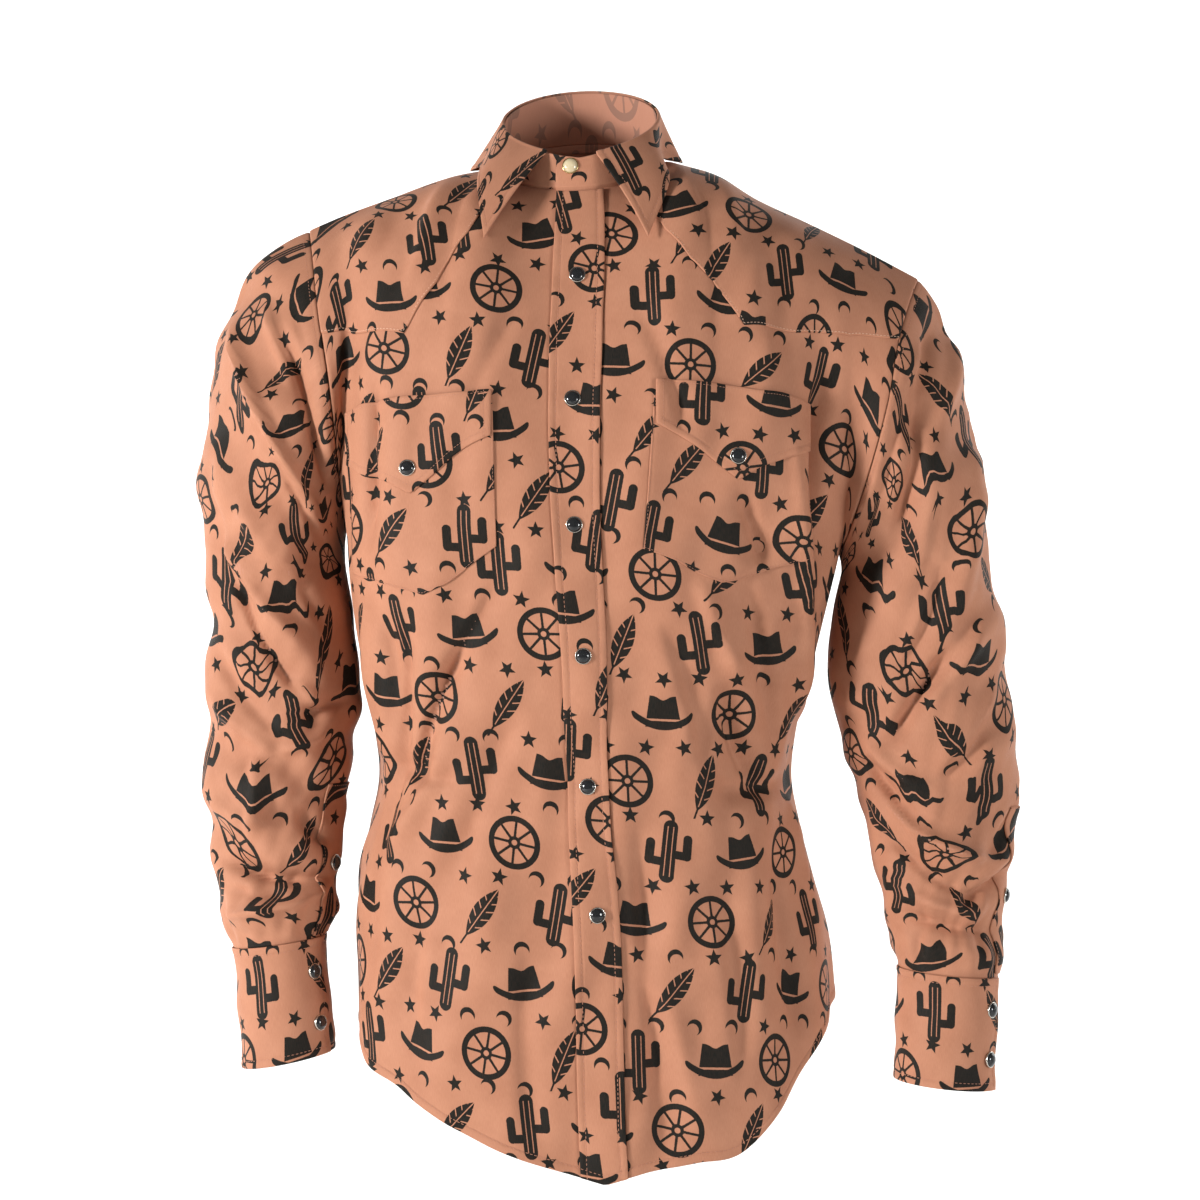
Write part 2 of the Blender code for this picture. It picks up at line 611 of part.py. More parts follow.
def patch(name, grid, flat, outlines, height, thickness, material, outward):
    """Piece that lies on a panel: the panel's own facets within outlines, moved out.

    flat holds the two flat coordinates of each grid point.  The outlines are closed
    polygons in the same coordinates, side by side, which make up one region.
    """
    normals = grid_normals(grid, False)
    if np.sum(normals * outward) < 0:
        normals = -normals
    triangles = facets(grid)
    spread, points, normals = flat.reshape(-1, 2), grid.reshape(-1, 3), normals.reshape(-1, 3)
    outlines = [turned_left([np.array(p, float) for p in outline]) for outline in outlines]
    numbers, base, out, faces = {}, [], [], []
    for outline in outlines:
        low, high = np.min(outline, axis=0), np.max(outline, axis=0)
        for triangle in triangles:
            a, b, c = spread[triangle]
            if np.any(np.max([a, b, c], axis=0) < low) or np.any(np.min([a, b, c], axis=0) > high):
                continue
            if flat_area([a, b, c]) < 0:
                triangle, (a, b, c) = triangle[::-1], (c, b, a)
            piece = outline
            for start, end in ((a, b), (b, c), (c, a)):
                piece = clip(piece, start, end) if piece else piece
            if len(piece) < 3 or flat_area(piece) < 1e-10:
                continue
            index = []
            for p in piece:
                key = (round(p[0], 6), round(p[1], 6))
                if key not in numbers:
                    corner = np.array([[a[0], b[0], c[0]], [a[1], b[1], c[1]], [1, 1, 1]])
                    share = np.linalg.solve(corner, [p[0], p[1], 1.0])
                    numbers[key] = len(base)
                    base.append(share @ points[triangle])
                    out.append(share @ normals[triangle])
                index.append(numbers[key])
            whole = [k for k in range(len(index)) if index[k] != index[k - 1]]
            index, piece = [index[k] for k in whole], [piece[k] for k in whole]
            faces += [tuple(index[k] for k in tri) for tri in fan(len(index), piece)]
    base, out, faces = np.array(base), unit(np.array(out)), np.array(faces)
    upper, lower = base + out * (height + thickness), base + out * height
    a, b, c = upper[faces[:, 0]], upper[faces[:, 1]], upper[faces[:, 2]]
    if np.sum(np.cross(b - a, c - a) * out[faces[:, 0]]) < 0:
        faces = faces[:, ::-1]
    edges = {(i, j) for face in faces.tolist() for i, j in zip(face, face[1:] + face[:1])}
    rim = np.array([(i, j) for i, j in sorted(edges) if (j, i) not in edges])
    far = len(base)
    sides = np.stack([rim[:, 1], rim[:, 0], rim[:, 0] + far, rim[:, 1] + far], axis=-1)
    every = np.concatenate([faces, faces[:, ::-1] + far, split(sides)])
    return add_mesh(name, np.concatenate([upper, lower]), every, material)


def add_mesh(name, points, triangles, material):
    """Make an object from points in millimetres and triangles."""
    mesh = bpy.data.meshes.new(name)
    mesh.from_pydata((points * MM).tolist(), [], triangles.tolist())
    mesh.validate()
    mesh.materials.append(material)
    mesh.shade_smooth()
    thing = bpy.data.objects.new(name, mesh)
    bpy.context.scene.collection.objects.link(thing)
    return thing


def finish(name, colour, roughness, metallic=0.0):
    """Plain material with a colour, a roughness and a metallic value."""
    material = bpy.data.materials.new(name)
    material.use_nodes = True
    shader = material.node_tree.nodes["Principled BSDF"]
    shader.inputs["Base Color"].default_value = (*colour, 1.0)
    shader.inputs["Roughness"].default_value = roughness
    shader.inputs["Metallic"].default_value = metallic
    return material


def clear_scene():
    """Remove every object that the file starts with."""
    for thing in list(bpy.data.objects):
        bpy.data.objects.remove(thing, do_unlink=True)


def lifted(shape, u, v, height, turn=1.0):
    """Points of a surface moved out along its normals."""
    u, v = np.broadcast_arrays(np.asarray(u, float), np.asarray(v, float))
    return shape(u, v) + turn * normals_of(shape, u, v) * np.asarray(height, float)[..., None]


def from_axis(grid, x=12.0):
    """Rough outward directions about an upright axis."""
    return grid * np.array([1.0, 1.0, 0.0]) - np.array([x, 0.0, 0.0])


def locate(x, z):
    """Find the front's u and t for places given in the front view."""
    x, z = np.asarray(x, float), np.asarray(z, float)
    u_grid, t_grid = np.meshgrid(np.linspace(-0.95, 0.95, 39), np.linspace(0.02, 1.9, 60))
    spread = FRONT(u_grid, t_grid)
    apart = np.hypot(spread[..., 0].ravel() - x.ravel()[:, None],
                     spread[..., 2].ravel() - z.ravel()[:, None])
    nearest = np.argmin(apart, axis=1)
    u = u_grid.ravel()[nearest].reshape(x.shape)
    t = t_grid.ravel()[nearest].reshape(x.shape)
    step = 0.01
    for _ in range(12):
        here = FRONT(u, t)
        by_u = (FRONT(u + step, t) - FRONT(u - step, t)) / (2 * step)
        by_t = (FRONT(u, t + step) - FRONT(u, t - step)) / (2 * step)
        miss_x, miss_z = x - here[..., 0], z - here[..., 2]
        area = by_u[..., 0] * by_t[..., 2] - by_u[..., 2] * by_t[..., 0]
        u = u + 0.8 * (miss_x * by_t[..., 2] - miss_z * by_t[..., 0]) / area
        t = t + 0.8 * (miss_z * by_u[..., 0] - miss_x * by_u[..., 2]) / area
        u, t = np.clip(u, -0.99, 0.99), np.clip(t, 0.0, 1.99)
    return u, t


# --- places of the sewn-on pieces ----------------------------------------------
PLACKET_EDGE = (-0.066, 0.070)   # free and stitched edge, as shares of the half girth
PLACKET_LIFT = 0.4
PLACKET_SETBACK = 0.009          # its top ends this far (in t) below the neck seam
EDGE = SEAM_GAP / 2 / 215.0      # half a seam gap, as a share of the half girth
CHEST_SHARES = 1.0 - (1.0 - np.linspace(0.0, 1.0, 11)) ** 1.35
ROWS = np.concatenate([np.linspace(0.0, 1.0, 15)[:-1], 1.0 + CHEST_SHARES])
HALF_COLUMNS = np.concatenate([np.linspace(0.13, NECK_SHARE, 5),
                               np.linspace(NECK_SHARE, 1 - EDGE, 8)[1:]])
BACK_COLUMNS = np.concatenate([-HALF_COLUMNS[::-1], [-0.066, 0.0, 0.07], HALF_COLUMNS])
YOKE_LIFT = 0.5                  # gap between a panel and the piece that lies on it
NECK_SETBACK = 3.6               # yokes end this far outside the neck seam

# Pocket and flap columns: their upper and lower ends in the front view.
COLUMN = "top_x top_z low_x low_z"
FLAP = {
    "right": table(COLUMN, [
        (-178, -178, -176, -218), (-160, -172, -161, -226), (-140, -169, -141, -232),
        (-127, -168, -125, -241), (-111, -167, -110, -229), (-92, -166, -93, -213),
        (-65, -164, -65, -198)]),
    "left": table(COLUMN, [
        (57, -156, 57, -189), (76, -156, 75, -199), (95, -158, 91, -209),
        (112, -160, 106, -221), (120, -161, 118, -231), (130, -163, 130, -223),
        (151, -165, 148, -216), (175, -172, 173, -208)]),
}
POCKET = {
    "right": table(COLUMN, [
        (-177, -188, -171, -301), (-160, -182, -149, -307), (-141, -179, -129, -312),
        (-127, -178, -115, -316), (-110, -177, -97, -307), (-91, -176, -79, -293),
        (-64, -174, -61, -280)]),
    "left": table(COLUMN, [
        (56, -166, 47, -282), (75, -166, 70, -290), (95, -168, 90, -301),
        (110, -170, 106, -307), (121, -171, 118, -305), (133, -173, 133, -300),
        (152, -175, 149, -295), (174, -182, 171, -289)]),
}
POCKET_SNAP = {"right": (-127.0, -222.0), "left": (118.0, -213.0)}
PLACKET_SNAP_Z = (-77.0, -170.0, -264.0, -361.0, -458.0, -553.0)

# Front yokes: the slanted inner edge from the neck down to the point, and the
# lower edge from the point out to the armhole, in the front view.
YOKE_INNER = {
    "right": table("x z", [(-83, -44), (-98, -66), (-107, -83), (-119, -99), (-132, -120)]),
    "left": table("x z", [(64, -40), (82, -64), (95, -78), (108, -93), (123, -115)]),
}
YOKE_LOWER = {
    "right": table("x z", [(-132, -120), (-152, -119), (-173, -118)]),
    "left": table("x z", [(123, -115), (162, -119), (203, -121)]),
}
YOKE_NECK = {"right": 0.205, "left": 0.165}     # where the inner edge meets the neck
YOKE_ARMHOLE_Z = {"right": -117.0, "left": -122.0}
BACK_YOKE = {"armhole_t": 1.60, "point_t": 1.30}

# --- cuffs and sleeve plackets ---------------------------------------------------
CUFF_EDGE = {"right": 0.43, "left": 0.065}      # where the upper layer ends
CUFF_TURN = {"right": 1.0, "left": -1.0}        # the way the band winds
CUFF_OVERLAP = 0.085
WIND_STEP = 2.5        # a wound band grows outward by this much in one turn
SLEEVE_PLACKET = {"right": (0.385, 0.485), "left": (-0.02, 0.078)}
SLEEVE_PLACKET_TOP = 1.58
SLEEVE_PLACKET_BOTTOM = 1.994
# The sleeve's columns start where the rows of the front and of the back end.
SLEEVE_COLUMNS = np.concatenate([(1 - CHEST_SHARES[::-1]) / 2, (1 + CHEST_SHARES[1:-1]) / 2])
SLEEVE_ROWS = np.concatenate([np.linspace(0, 1, 9)[:-1], np.linspace(1, 2, 15)])

# --- collar ----------------------------------------------------------------------
STAND_UNDER_END = 0.24     # angles from the front at which the stand's ends lie
STAND_OVERLAP = 0.53
STAND_FRONT_HEIGHT = 22.0
STAND_RISE = 19.0          # the stand is this much higher at the back
STAND_LEAN = 0.10          # it leans in by this share of its height
STAND_GAP = 1.5            # gap between the panels' neck edge and the stand
COLLAR_ENDS = (0.20, 2 * np.pi - 0.42)
# Outer edge of the folded collar, as places on the front or back panel.
COLLAR_EDGE_FRONT = table("left_u left_t right_u right_t", [
    (0.178, 1.766, 0.238, 1.704), (0.272, 1.870, 0.315, 1.830), (0.360, 1.958, 0.404, 1.944)])
COLLAR_EDGE_BACK = table("left_u left_t right_u right_t", [
    (0.415, 1.985, 0.450, 1.975), (0.355, 1.968, 0.380, 1.955), (0.270, 1.965, 0.280, 1.960),
    (0.150, 1.975, 0.150, 1.975), (0.0, 1.980, 0.0, 1.980)])
COLLAR_LIFT = 5.2
COLLAR_BULGE = (6.0, -1.0) # at the front leaves, and round the sides and the back
COLLAR_LEAVES = (0.06, 0.20)   # length shares from the tips over which the one becomes the other
COLLAR_FOLD_GAP = 1.0      # gap between the stand's top edge and the fold around it
COLLAR_UPWARD = np.array([0.0, 0.0, 30.0])   # upward share of the collar's outward directions


def front_columns():
    """Columns of both fronts, right and left of the placket's stitched edge."""
    free, stitched = PLACKET_EDGE
    right = np.concatenate([-HALF_COLUMNS[::-1], [free, 0.0, stitched - EDGE]])
    return {"right": right, "left": np.concatenate([[stitched + EDGE], HALF_COLUMNS])}


def panel(face, columns):
    """Point grid of a panel, with the u and t of each point."""
    rows = np.minimum(ROWS, 2 - EDGE)
    u, t = np.meshgrid(columns, rows)
    return (FRONT if face == "front" else BACK)(u, t), np.stack([u, t], axis=-1)


def seam_normals(columns):
    """Normals that the fronts and the back share along their seams, else zeros."""
    normals = np.zeros((len(ROWS), len(columns), 3))
    step = 0.002
    beyond = np.abs(columns) > NECK_SHARE - step
    inside = np.clip(np.abs(columns), NECK_SHARE + step, 1 - step) * np.sign(columns)
    run = upper_edge("front", inside + step) - upper_edge("front", inside - step)
    upright = unit(np.cross(run, [0.0, 1.0, 0.0]))
    normals[-1] = upright * np.sign(upright[:, 2:]) * beyond[:, None]
    for edge in (0, -1):
        if abs(columns[edge]) > SIDE_SHARE:
            normals[ROWS <= 1, edge] = [np.sign(columns[edge]), 0.0, 0.0]
    return normals


def torso_walls(cloth):
    """Both fronts, the back and the placket band."""
    for side, columns in front_columns().items():
        grid, _ = panel("front", columns)
        wall("front_" + side, grid, CLOTH, cloth, from_axis(grid), fixed=seam_normals(columns))
    grid, _ = panel("back", BACK_COLUMNS)
    wall("back", grid, CLOTH, cloth, from_axis(grid), fixed=seam_normals(BACK_COLUMNS))
    rows = np.concatenate([ROWS[:-1], [2 - PLACKET_SETBACK]])
    band = np.array([PLACKET_EDGE[0], 0.0, PLACKET_EDGE[1]])
    grid = lifted(FRONT, band[None, :], rows[:, None], PLACKET_LIFT + DOUBLE_CLOTH)
    wall("placket", grid, DOUBLE_CLOTH, cloth, from_axis(grid))


def neck_limit(face, u):
    """Highest t on a column that keeps a yoke clear of the collar stand."""
    t = np.linspace(1.8, 2 - EDGE, 400)
    points = torso(face, np.full(t.shape, u), t)
    ring = np.hypot(points[:, 0] / NECK_RADIUS_X, (points[:, 1] - NECK_CENTRE_Y) / NECK_RADIUS_Y)
    clear = ring > 1 + NECK_SETBACK / NECK_RADIUS_X
    return t[np.flatnonzero(clear)[-1]]


def strips(u, low, high):
    """Quads side by side between a lower and an upper edge over the columns u."""
    return [[(u[k], low[k]), (u[k + 1], low[k + 1]), (u[k + 1], high[k + 1]), (u[k], high[k])]
            for k in range(len(u) - 1)]


def front_yoke(side, cloth):
    """Pointed yoke on a front, from its point up to the neck and the shoulder."""
    sign = -1.0 if side == "right" else 1.0
    inner_u, inner_t = locate(YOKE_INNER[side]["x"], YOKE_INNER[side]["z"])
    lower_u, lower_t = locate(YOKE_LOWER[side]["x"], YOKE_LOWER[side]["z"])
    hole = ARMHOLE["front", side]
    shares = np.linspace(0.0, 1.0, 101)
    hole_t = 1 + np.interp(YOKE_ARMHOLE_Z[side], along_table(hole, shares)[:, 2], shares)
    outer = 1 - EDGE
    edge_u = np.concatenate([[YOKE_NECK[side]], np.abs(inner_u), np.abs(lower_u[1:]), [outer]])
    edge_t = np.concatenate([[neck_limit("front", sign * YOKE_NECK[side])], inner_t, lower_t[1:], [hole_t]])
    columns = HALF_COLUMNS[HALF_COLUMNS > YOKE_NECK[side] + 0.01]
    u = np.unique(np.concatenate([columns, [YOKE_NECK[side], abs(inner_u[-1])]]))
    high = np.array([neck_limit("front", sign * value) for value in u])
    grid, flat = panel("front", front_columns()[side])
    pieces = strips(sign * u, np.interp(u, edge_u, edge_t), high)
    pieces[0] = [pieces[0][0], pieces[0][1], pieces[0][2]]
    patch("yoke_front_" + side, grid, flat, pieces, YOKE_LIFT, CLOTH, cloth, from_axis(grid))


def back_yoke(cloth):
    """Yoke across the back, whose lower edge runs down to a point."""
    drop = BACK_YOKE["armhole_t"] - BACK_YOKE["point_t"]
    low = BACK_YOKE["armhole_t"] - drop * (1 - np.abs(BACK_COLUMNS)) ** 1.2
    high = np.array([neck_limit("back", u) for u in BACK_COLUMNS])
    grid, flat = panel("back", BACK_COLUMNS)
    patch("yoke_back", grid, flat, strips(BACK_COLUMNS, low, high), YOKE_LIFT, CLOTH, cloth,
          from_axis(grid))


def pocket(side, cloth):
    """Patch pocket with a pointed bottom, and the pointed flap over its mouth."""
    grid, _ = panel("front", front_columns()[side])
    for name, place, height in (("pocket_", POCKET[side], YOKE_LIFT),
                                ("flap_", FLAP[side], 2 * YOKE_LIFT + CLOTH)):
        top = np.stack([place["top_x"], place["top_z"]], axis=1)
        low = np.stack([place["low_x"], place["low_z"]], axis=1)
        patch(name + side, grid, grid[..., [0, 2]], [np.concatenate([top, low[::-1]])], height,
              CLOTH, cloth, from_axis(grid))


def cuff_ring(side, u, f):
    """Cuff section; f is 0 at the upper edge and 1 at the lower one."""
    outer_z, inner_z = [a + (b - a) * f for a, b in zip(CUFF[side]["top"], CUFF[side]["bottom"])]
    ring = arm_ring(side, u, (outer_z + inner_z) / 2 + 0 * u)
    edge = [arm_ring(side, k + 0 * u, (outer_z + inner_z) / 2 + 0 * u)[..., 0] for k in (0.0, 0.5)]
    share = (ring[..., 0] - edge[0]) / (edge[1] - edge[0])
    ring[..., 2] = outer_z + (inner_z - outer_z) * share
    return ring


def cuff_point(side, turn, f, height=0.0):
    """Place on the cuff band; turn is 0 at the under end and 1 at the upper end."""
    wind = CUFF_TURN[side]
    u = CUFF_EDGE[side] + wind * ((1 + CUFF_OVERLAP) * turn - 1 - CUFF_OVERLAP)
    ring = cuff_ring(side, u, f)
    axis = (cuff_ring(side, u, f) + cuff_ring(side, u + 0.5, f)) / 2
    step = WIND_STEP * turn + height
    return ring + unit(ring - axis) * step[..., None]


def cuff(side, cloth):
    """Cuff band, wound once round the wrist with its ends lapped."""
    turn, f = np.meshgrid(np.linspace(0, 1, 31), np.linspace(0, 1, 4))
    grid = cuff_point(side, turn, f)
    wall("cuff_" + side, grid, DOUBLE_CLOTH, cloth, grid - grid.mean(axis=1, keepdims=True))


def sleeve_walls(side, cloth):
    """Sleeve tube, and the placket band that lies on it beside its opening."""
    u, w = np.meshgrid(SLEEVE_COLUMNS, SLEEVE_ROWS)
    grid = SLEEVE[side](u, w)
    outward = grid - grid.mean(axis=1, keepdims=True)
    wall("sleeve_" + side, grid, CLOTH, cloth, outward, True)
    low, high = SLEEVE_PLACKET[side]
    turn = np.concatenate([SLEEVE_COLUMNS[-6:] - 1, SLEEVE_COLUMNS[:16]])
    u, w = np.meshgrid(turn, SLEEVE_ROWS[SLEEVE_ROWS > SLEEVE_PLACKET_TOP - 0.1])
    grid = SLEEVE[side](u, w)
    middle = grid_centre(side, w)
    top, bottom = SLEEVE_PLACKET_TOP, SLEEVE_PLACKET_BOTTOM
    outline = [(low, top), (high, top), (high, bottom), (low, bottom)]
    patch("sleeve_placket_" + side, grid, np.stack([u, w], axis=-1), [outline], YOKE_LIFT, CLOTH,
          cloth, grid - middle)


def grid_centre(side, w):
    """Middle of the arm at each w, for outward directions."""
    return (SLEEVE[side](0 * w, w) + SLEEVE[side](0 * w + 0.5, w)) / 2


def stand_point(angle, f, height=0.0):
    """Place on the collar stand; f is 0 at the neck seam and 1 at the top."""
    wound = (STAND_UNDER_END - angle) / (2 * np.pi)
    rise = STAND_FRONT_HEIGHT + STAND_RISE * np.abs(np.sin(angle / 2))
    seam = neckline(angle)
    away = unit(seam * np.array([1.0, 1.0, 0.0]))
    step = WIND_STEP * wound + height - STAND_LEAN * rise * f
    point = seam + away * step[..., None]
    point[..., 2] += STAND_GAP + rise * f
    return point


def stand(cloth):
    """Collar stand, wound once round the neck with its front ends lapped."""
    share, f = np.meshgrid(np.linspace(0, 1, 33), np.linspace(0, 1, 3))
    angle = STAND_UNDER_END - share * (2 * np.pi + STAND_OVERLAP)
    grid = stand_point(angle, f * stand_end(share))
    wall("collar_stand", grid, DOUBLE_CLOTH, cloth, from_axis(grid, 0.0))


def stand_end(share):
    """Share of the stand's height that its rounded front ends keep."""
    near = np.minimum(share, 1 - share) / 0.02
    return 0.72 + 0.28 * np.sqrt(np.clip(near * (2 - near), 0, 1) * (near < 1) + (near >= 1))


def collar_edge():
    """Outer edge of the folded collar, from the left front tip to the right one."""
    front, back = COLLAR_EDGE_FRONT, COLLAR_EDGE_BACK
    left = lifted(FRONT, front["left_u"], front["left_t"], COLLAR_LIFT)
    right = lifted(FRONT, -front["right_u"], front["right_t"], COLLAR_LIFT)
    u = np.concatenate([back["left_u"], -back["right_u"][-2::-1]])
    t = np.concatenate([back["left_t"], back["right_t"][-2::-1]])
    behind = lifted(BACK, u, t, COLLAR_LIFT, -1.0)
    points = np.concatenate([left, behind, right[::-1]])
    return dict(zip("xyz", points.T))


def collar(cloth):
    """Folded collar: from the stand's top out and down over the neckline."""
    share, f = np.meshgrid(np.linspace(0, 1, 37), np.linspace(0, 1, 6))
    angle = COLLAR_ENDS[0] + (COLLAR_ENDS[1] - COLLAR_ENDS[0]) * share
    fold = stand_point(angle - 2 * np.pi, 1 + 0 * share, DOUBLE_CLOTH + COLLAR_FOLD_GAP)
    edge = along_table(collar_edge(), share)
    leaf, behind = COLLAR_BULGE
    bulge = leaf + (behind - leaf) * ease(*COLLAR_LEAVES, np.minimum(share, 1 - share))
    away = unit(edge * np.array([1, 1, 0]) + COLLAR_UPWARD)
    middle = (fold + edge) / 2 + away * bulge[..., None]
    f = f[..., None]
    grid = fold * (1 - f) ** 2 + 2 * middle * f * (1 - f) + edge * f ** 2
    wall("collar", grid, DOUBLE_CLOTH, cloth, from_axis(grid, 0.0) + COLLAR_UPWARD)


# --- snaps -----------------------------------------------------------------------
# Turned profile of a snap cap, as radius and height above the cloth.
SNAP_PROFILE = table("radius height", [
    (6.0, 0.0), (6.2, 0.6), (5.3, 1.2), (4.4, 2.5)])
SNAP_TOP = 3.2
SNAP_SEAT = 0.6         # gap between a cap and the curved cloth beneath its middle
CUFF_SNAPS = (0.28, 0.72)        # heights of the two cuff snaps, as shares of the cuff
SLEEVE_SNAP_W = 1.80             # place of the sleeve placket's snap along the sleeve
COLLAR_SNAP = (-0.11 - 2 * np.pi, 0.68)   # angle and height share on the stand
SNAP_SIDES = 12


def snap(name, seat, normal, material):
    """Domed snap cap turned about its normal, with its base at the seat."""
    side = unit(np.cross(normal, [0.0, 0.0, 1.0]))
    up = np.cross(side, normal)
    angle = np.linspace(0, 2 * np.pi, SNAP_SIDES, endpoint=False)
    around = side * np.cos(angle)[:, None] + up * np.sin(angle)[:, None]
    radius, height = SNAP_PROFILE["radius"], SNAP_PROFILE["height"]
    rings = seat + radius[:, None, None] * around + height[:, None, None] * normal
    points = np.concatenate([rings.reshape(-1, 3), [seat], [seat + SNAP_TOP * normal]])
    index = np.arange(len(radius) * SNAP_SIDES).reshape(len(radius), SNAP_SIDES)
    index = np.concatenate([index, index[:, :1]], axis=1)
    faces = [tuple(face) for face in split(quads(index)[:, ::-1])]
    base, top = len(points) - 2, len(points) - 1
    faces += [(base, index[0, k], index[0, k + 1]) for k in range(SNAP_SIDES)]
    faces += [(top, index[-1, k + 1], index[-1, k]) for k in range(SNAP_SIDES)]
    add_mesh(name, points, np.array(faces), material)


def snap_on(name, shape, u, v, height, turn, material):
    """Snap seated above a surface function."""
    u, v = np.array(float(u)), np.array(float(v))
    normal = turn * normals_of(shape, u, v)
    snap(name, shape(u, v) + normal * height, normal, material)


def snaps(black, pearl):
    """Every fastener, each on the top layer of what it closes."""
    _, placket_t = locate(np.interp(PLACKET_SNAP_Z, TORSO["z"], TORSO["centre_x"]), PLACKET_SNAP_Z)
    for number, t in enumerate(placket_t, start=1):
        snap_on(f"snap_placket_{number}", FRONT, 0.0, t, PLACKET_LIFT + DOUBLE_CLOTH + SNAP_SEAT,
                1.0, black)
    for side in ("right", "left"):
        u, t = locate(*[np.array([k]) for k in POCKET_SNAP[side]])
        snap_on("snap_pocket_" + side, FRONT, u[0], t[0], 2 * (YOKE_LIFT + CLOTH) + SNAP_SEAT,
                1.0, black)
        out = -1.0 if side == "right" else 1.0
        snap_on("snap_sleeve_" + side, SLEEVE[side], sum(SLEEVE_PLACKET[side]) / 2, SLEEVE_SNAP_W,
                YOKE_LIFT + CLOTH + SNAP_SEAT, out, black)
        turn = 1 - CUFF_OVERLAP / 2
        for number, f in enumerate(CUFF_SNAPS, start=1):
            place = [cuff_point(side, np.array(turn + k), np.array(f)) for k in (-0.01, 0.0, 0.01)]
            below = cuff_point(side, np.array(turn), np.array(f + 0.05))
            normal = unit(np.cross(place[2] - place[0], below - place[1]))
            middle = cuff_ring(side, np.array([0.0, 0.5]), np.array(f)).mean(axis=0)
            normal = normal * np.sign(np.dot(normal, place[1] - middle))
            snap(f"snap_cuff_{side}_{number}", place[1] + normal * SNAP_SEAT, normal, black)
    angle, f = np.array(COLLAR_SNAP[0]), np.array(COLLAR_SNAP[1])
    place = stand_point(angle, f)
    normal = unit(np.cross(stand_point(angle + 0.05, f) - place, stand_point(angle, f + 0.2) - place))
    snap("snap_collar", place + normal * SNAP_SEAT, normal, pearl)


def build():
    """Make the whole shirt."""
    clear_scene()
    names = {"cloth": ((0.42, 0.20, 0.12), 0.8, 0.0), "black": ((0.02, 0.02, 0.02), 0.25, 0.0),
             "pearl": ((0.75, 0.68, 0.52), 0.3, 0.0)}
    finishes = {name: finish(name, *values) for name, values in names.items()}
    cloth = finishes["cloth"]
    torso_walls(cloth)
    back_yoke(cloth)
    stand(cloth)
    collar(cloth)
    for side in ("right", "left"):
        front_yoke(side, cloth)
        pocket(side, cloth)
        sleeve_walls(side, cloth)
        cuff(side, cloth)
    snaps(finishes["black"], finishes["pearl"])


if __name__ == "__main__":
    build()
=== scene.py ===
"""Western snap shirt, buttoned up and worn, with the arms hanging: the dressed model.

Every cloth piece is a thin shell on one of three forms: the torso, a function of
the width share u and the height t of each face; the arm, a tube of u and w; and
the collar, wound about the neck.  Forms are in millimetres, and meshes in metres.
"right" and "left" are the wearer's: the right side lies on -X, the front faces -Y.
"""
import logging
from dataclasses import dataclass, field
from enum import Enum
from functools import reduce
from typing import Callable, Union

import bpy
import numpy as np
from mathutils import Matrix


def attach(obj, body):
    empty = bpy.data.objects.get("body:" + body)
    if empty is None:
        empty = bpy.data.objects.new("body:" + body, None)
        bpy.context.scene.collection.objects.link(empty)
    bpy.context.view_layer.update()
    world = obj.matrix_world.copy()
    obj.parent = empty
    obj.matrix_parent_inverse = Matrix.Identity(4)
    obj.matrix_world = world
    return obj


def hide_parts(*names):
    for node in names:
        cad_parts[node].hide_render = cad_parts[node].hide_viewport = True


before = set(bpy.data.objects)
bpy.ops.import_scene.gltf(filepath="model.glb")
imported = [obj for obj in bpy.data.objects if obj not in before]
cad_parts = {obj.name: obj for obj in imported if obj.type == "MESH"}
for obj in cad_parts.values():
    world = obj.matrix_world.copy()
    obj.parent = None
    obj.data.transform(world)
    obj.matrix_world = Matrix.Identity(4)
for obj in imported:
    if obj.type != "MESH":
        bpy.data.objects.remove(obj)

MM = 0.001
LEVEL = np.array([1.0, 1.0, 0.0])
Array = np.ndarray
Shape = Callable[[Array, Array], Array]
Table = dict[str, Array]
log = logging.getLogger("shirt")


class Side(Enum):
    """The wearer's side."""

    RIGHT = "right"
    LEFT = "left"

    @property
    def sign(self) -> float:
        """Sign of X on this side."""
        return -1.0 if self is Side.RIGHT else 1.0


class Face(Enum):
    """The two faces of the torso."""

    FRONT = "front"
    BACK = "back"

    @property
    def sign(self) -> float:
        """Sign of Y on this face."""
        return -1.0 if self is Face.FRONT else 1.0


# --- curves and surfaces -----------------------------------------------------
def table(columns: str, rows: list[tuple[float, ...]]) -> Table:
    """Return rows of numbers as one array per named column."""
    return dict(zip(columns.split(), np.array(rows, float).T))


def cubic(start: Array, lead: Array, end: Array, tail: Array, f: Array) -> Array:
    """Cubic from start to end with the slopes lead and tail, at f from 0 to 1."""
    return (start * (1 + 2 * f) * (1 - f) ** 2 + lead * f * (1 - f) ** 2
            + end * f * f * (3 - 2 * f) + tail * f * f * (f - 1))


def smooth(knots: Array, values: Array, at: Array) -> Array:
    """Cubic through the knots whose slopes are central differences.

    Args:
        knots: rising parameter values.
        values: one value for each knot.
        at: places to read.

    Returns:
        The curve's values at those places.
    """
    slopes = np.gradient(values, knots)
    at = np.clip(at, knots[0], knots[-1])
    cell = np.clip(np.searchsorted(knots, at, side="right") - 1, 0, len(knots) - 2)
    width = knots[cell + 1] - knots[cell]
    f = (at - knots[cell]) / width
    return cubic(values[cell], width * slopes[cell], values[cell + 1], width * slopes[cell + 1], f)


def at_level(rows: Table, z: Array) -> Table:
    """Every column of a table of levels, read at heights z."""
    return {name: smooth(rows["z"], rows[name], z) for name in rows if name != "z"}


def paired(a: Array | float, b: Array | float) -> list[Array]:
    """Two arrays of numbers, spread to one shape."""
    return np.broadcast_arrays(np.asarray(a, float), np.asarray(b, float))


def run_along(points: Array) -> Array:
    """Length run along a line of points, from its first."""
    steps = np.linalg.norm(np.diff(points, axis=0), axis=1)
    return np.concatenate([[0.0], np.cumsum(steps)])


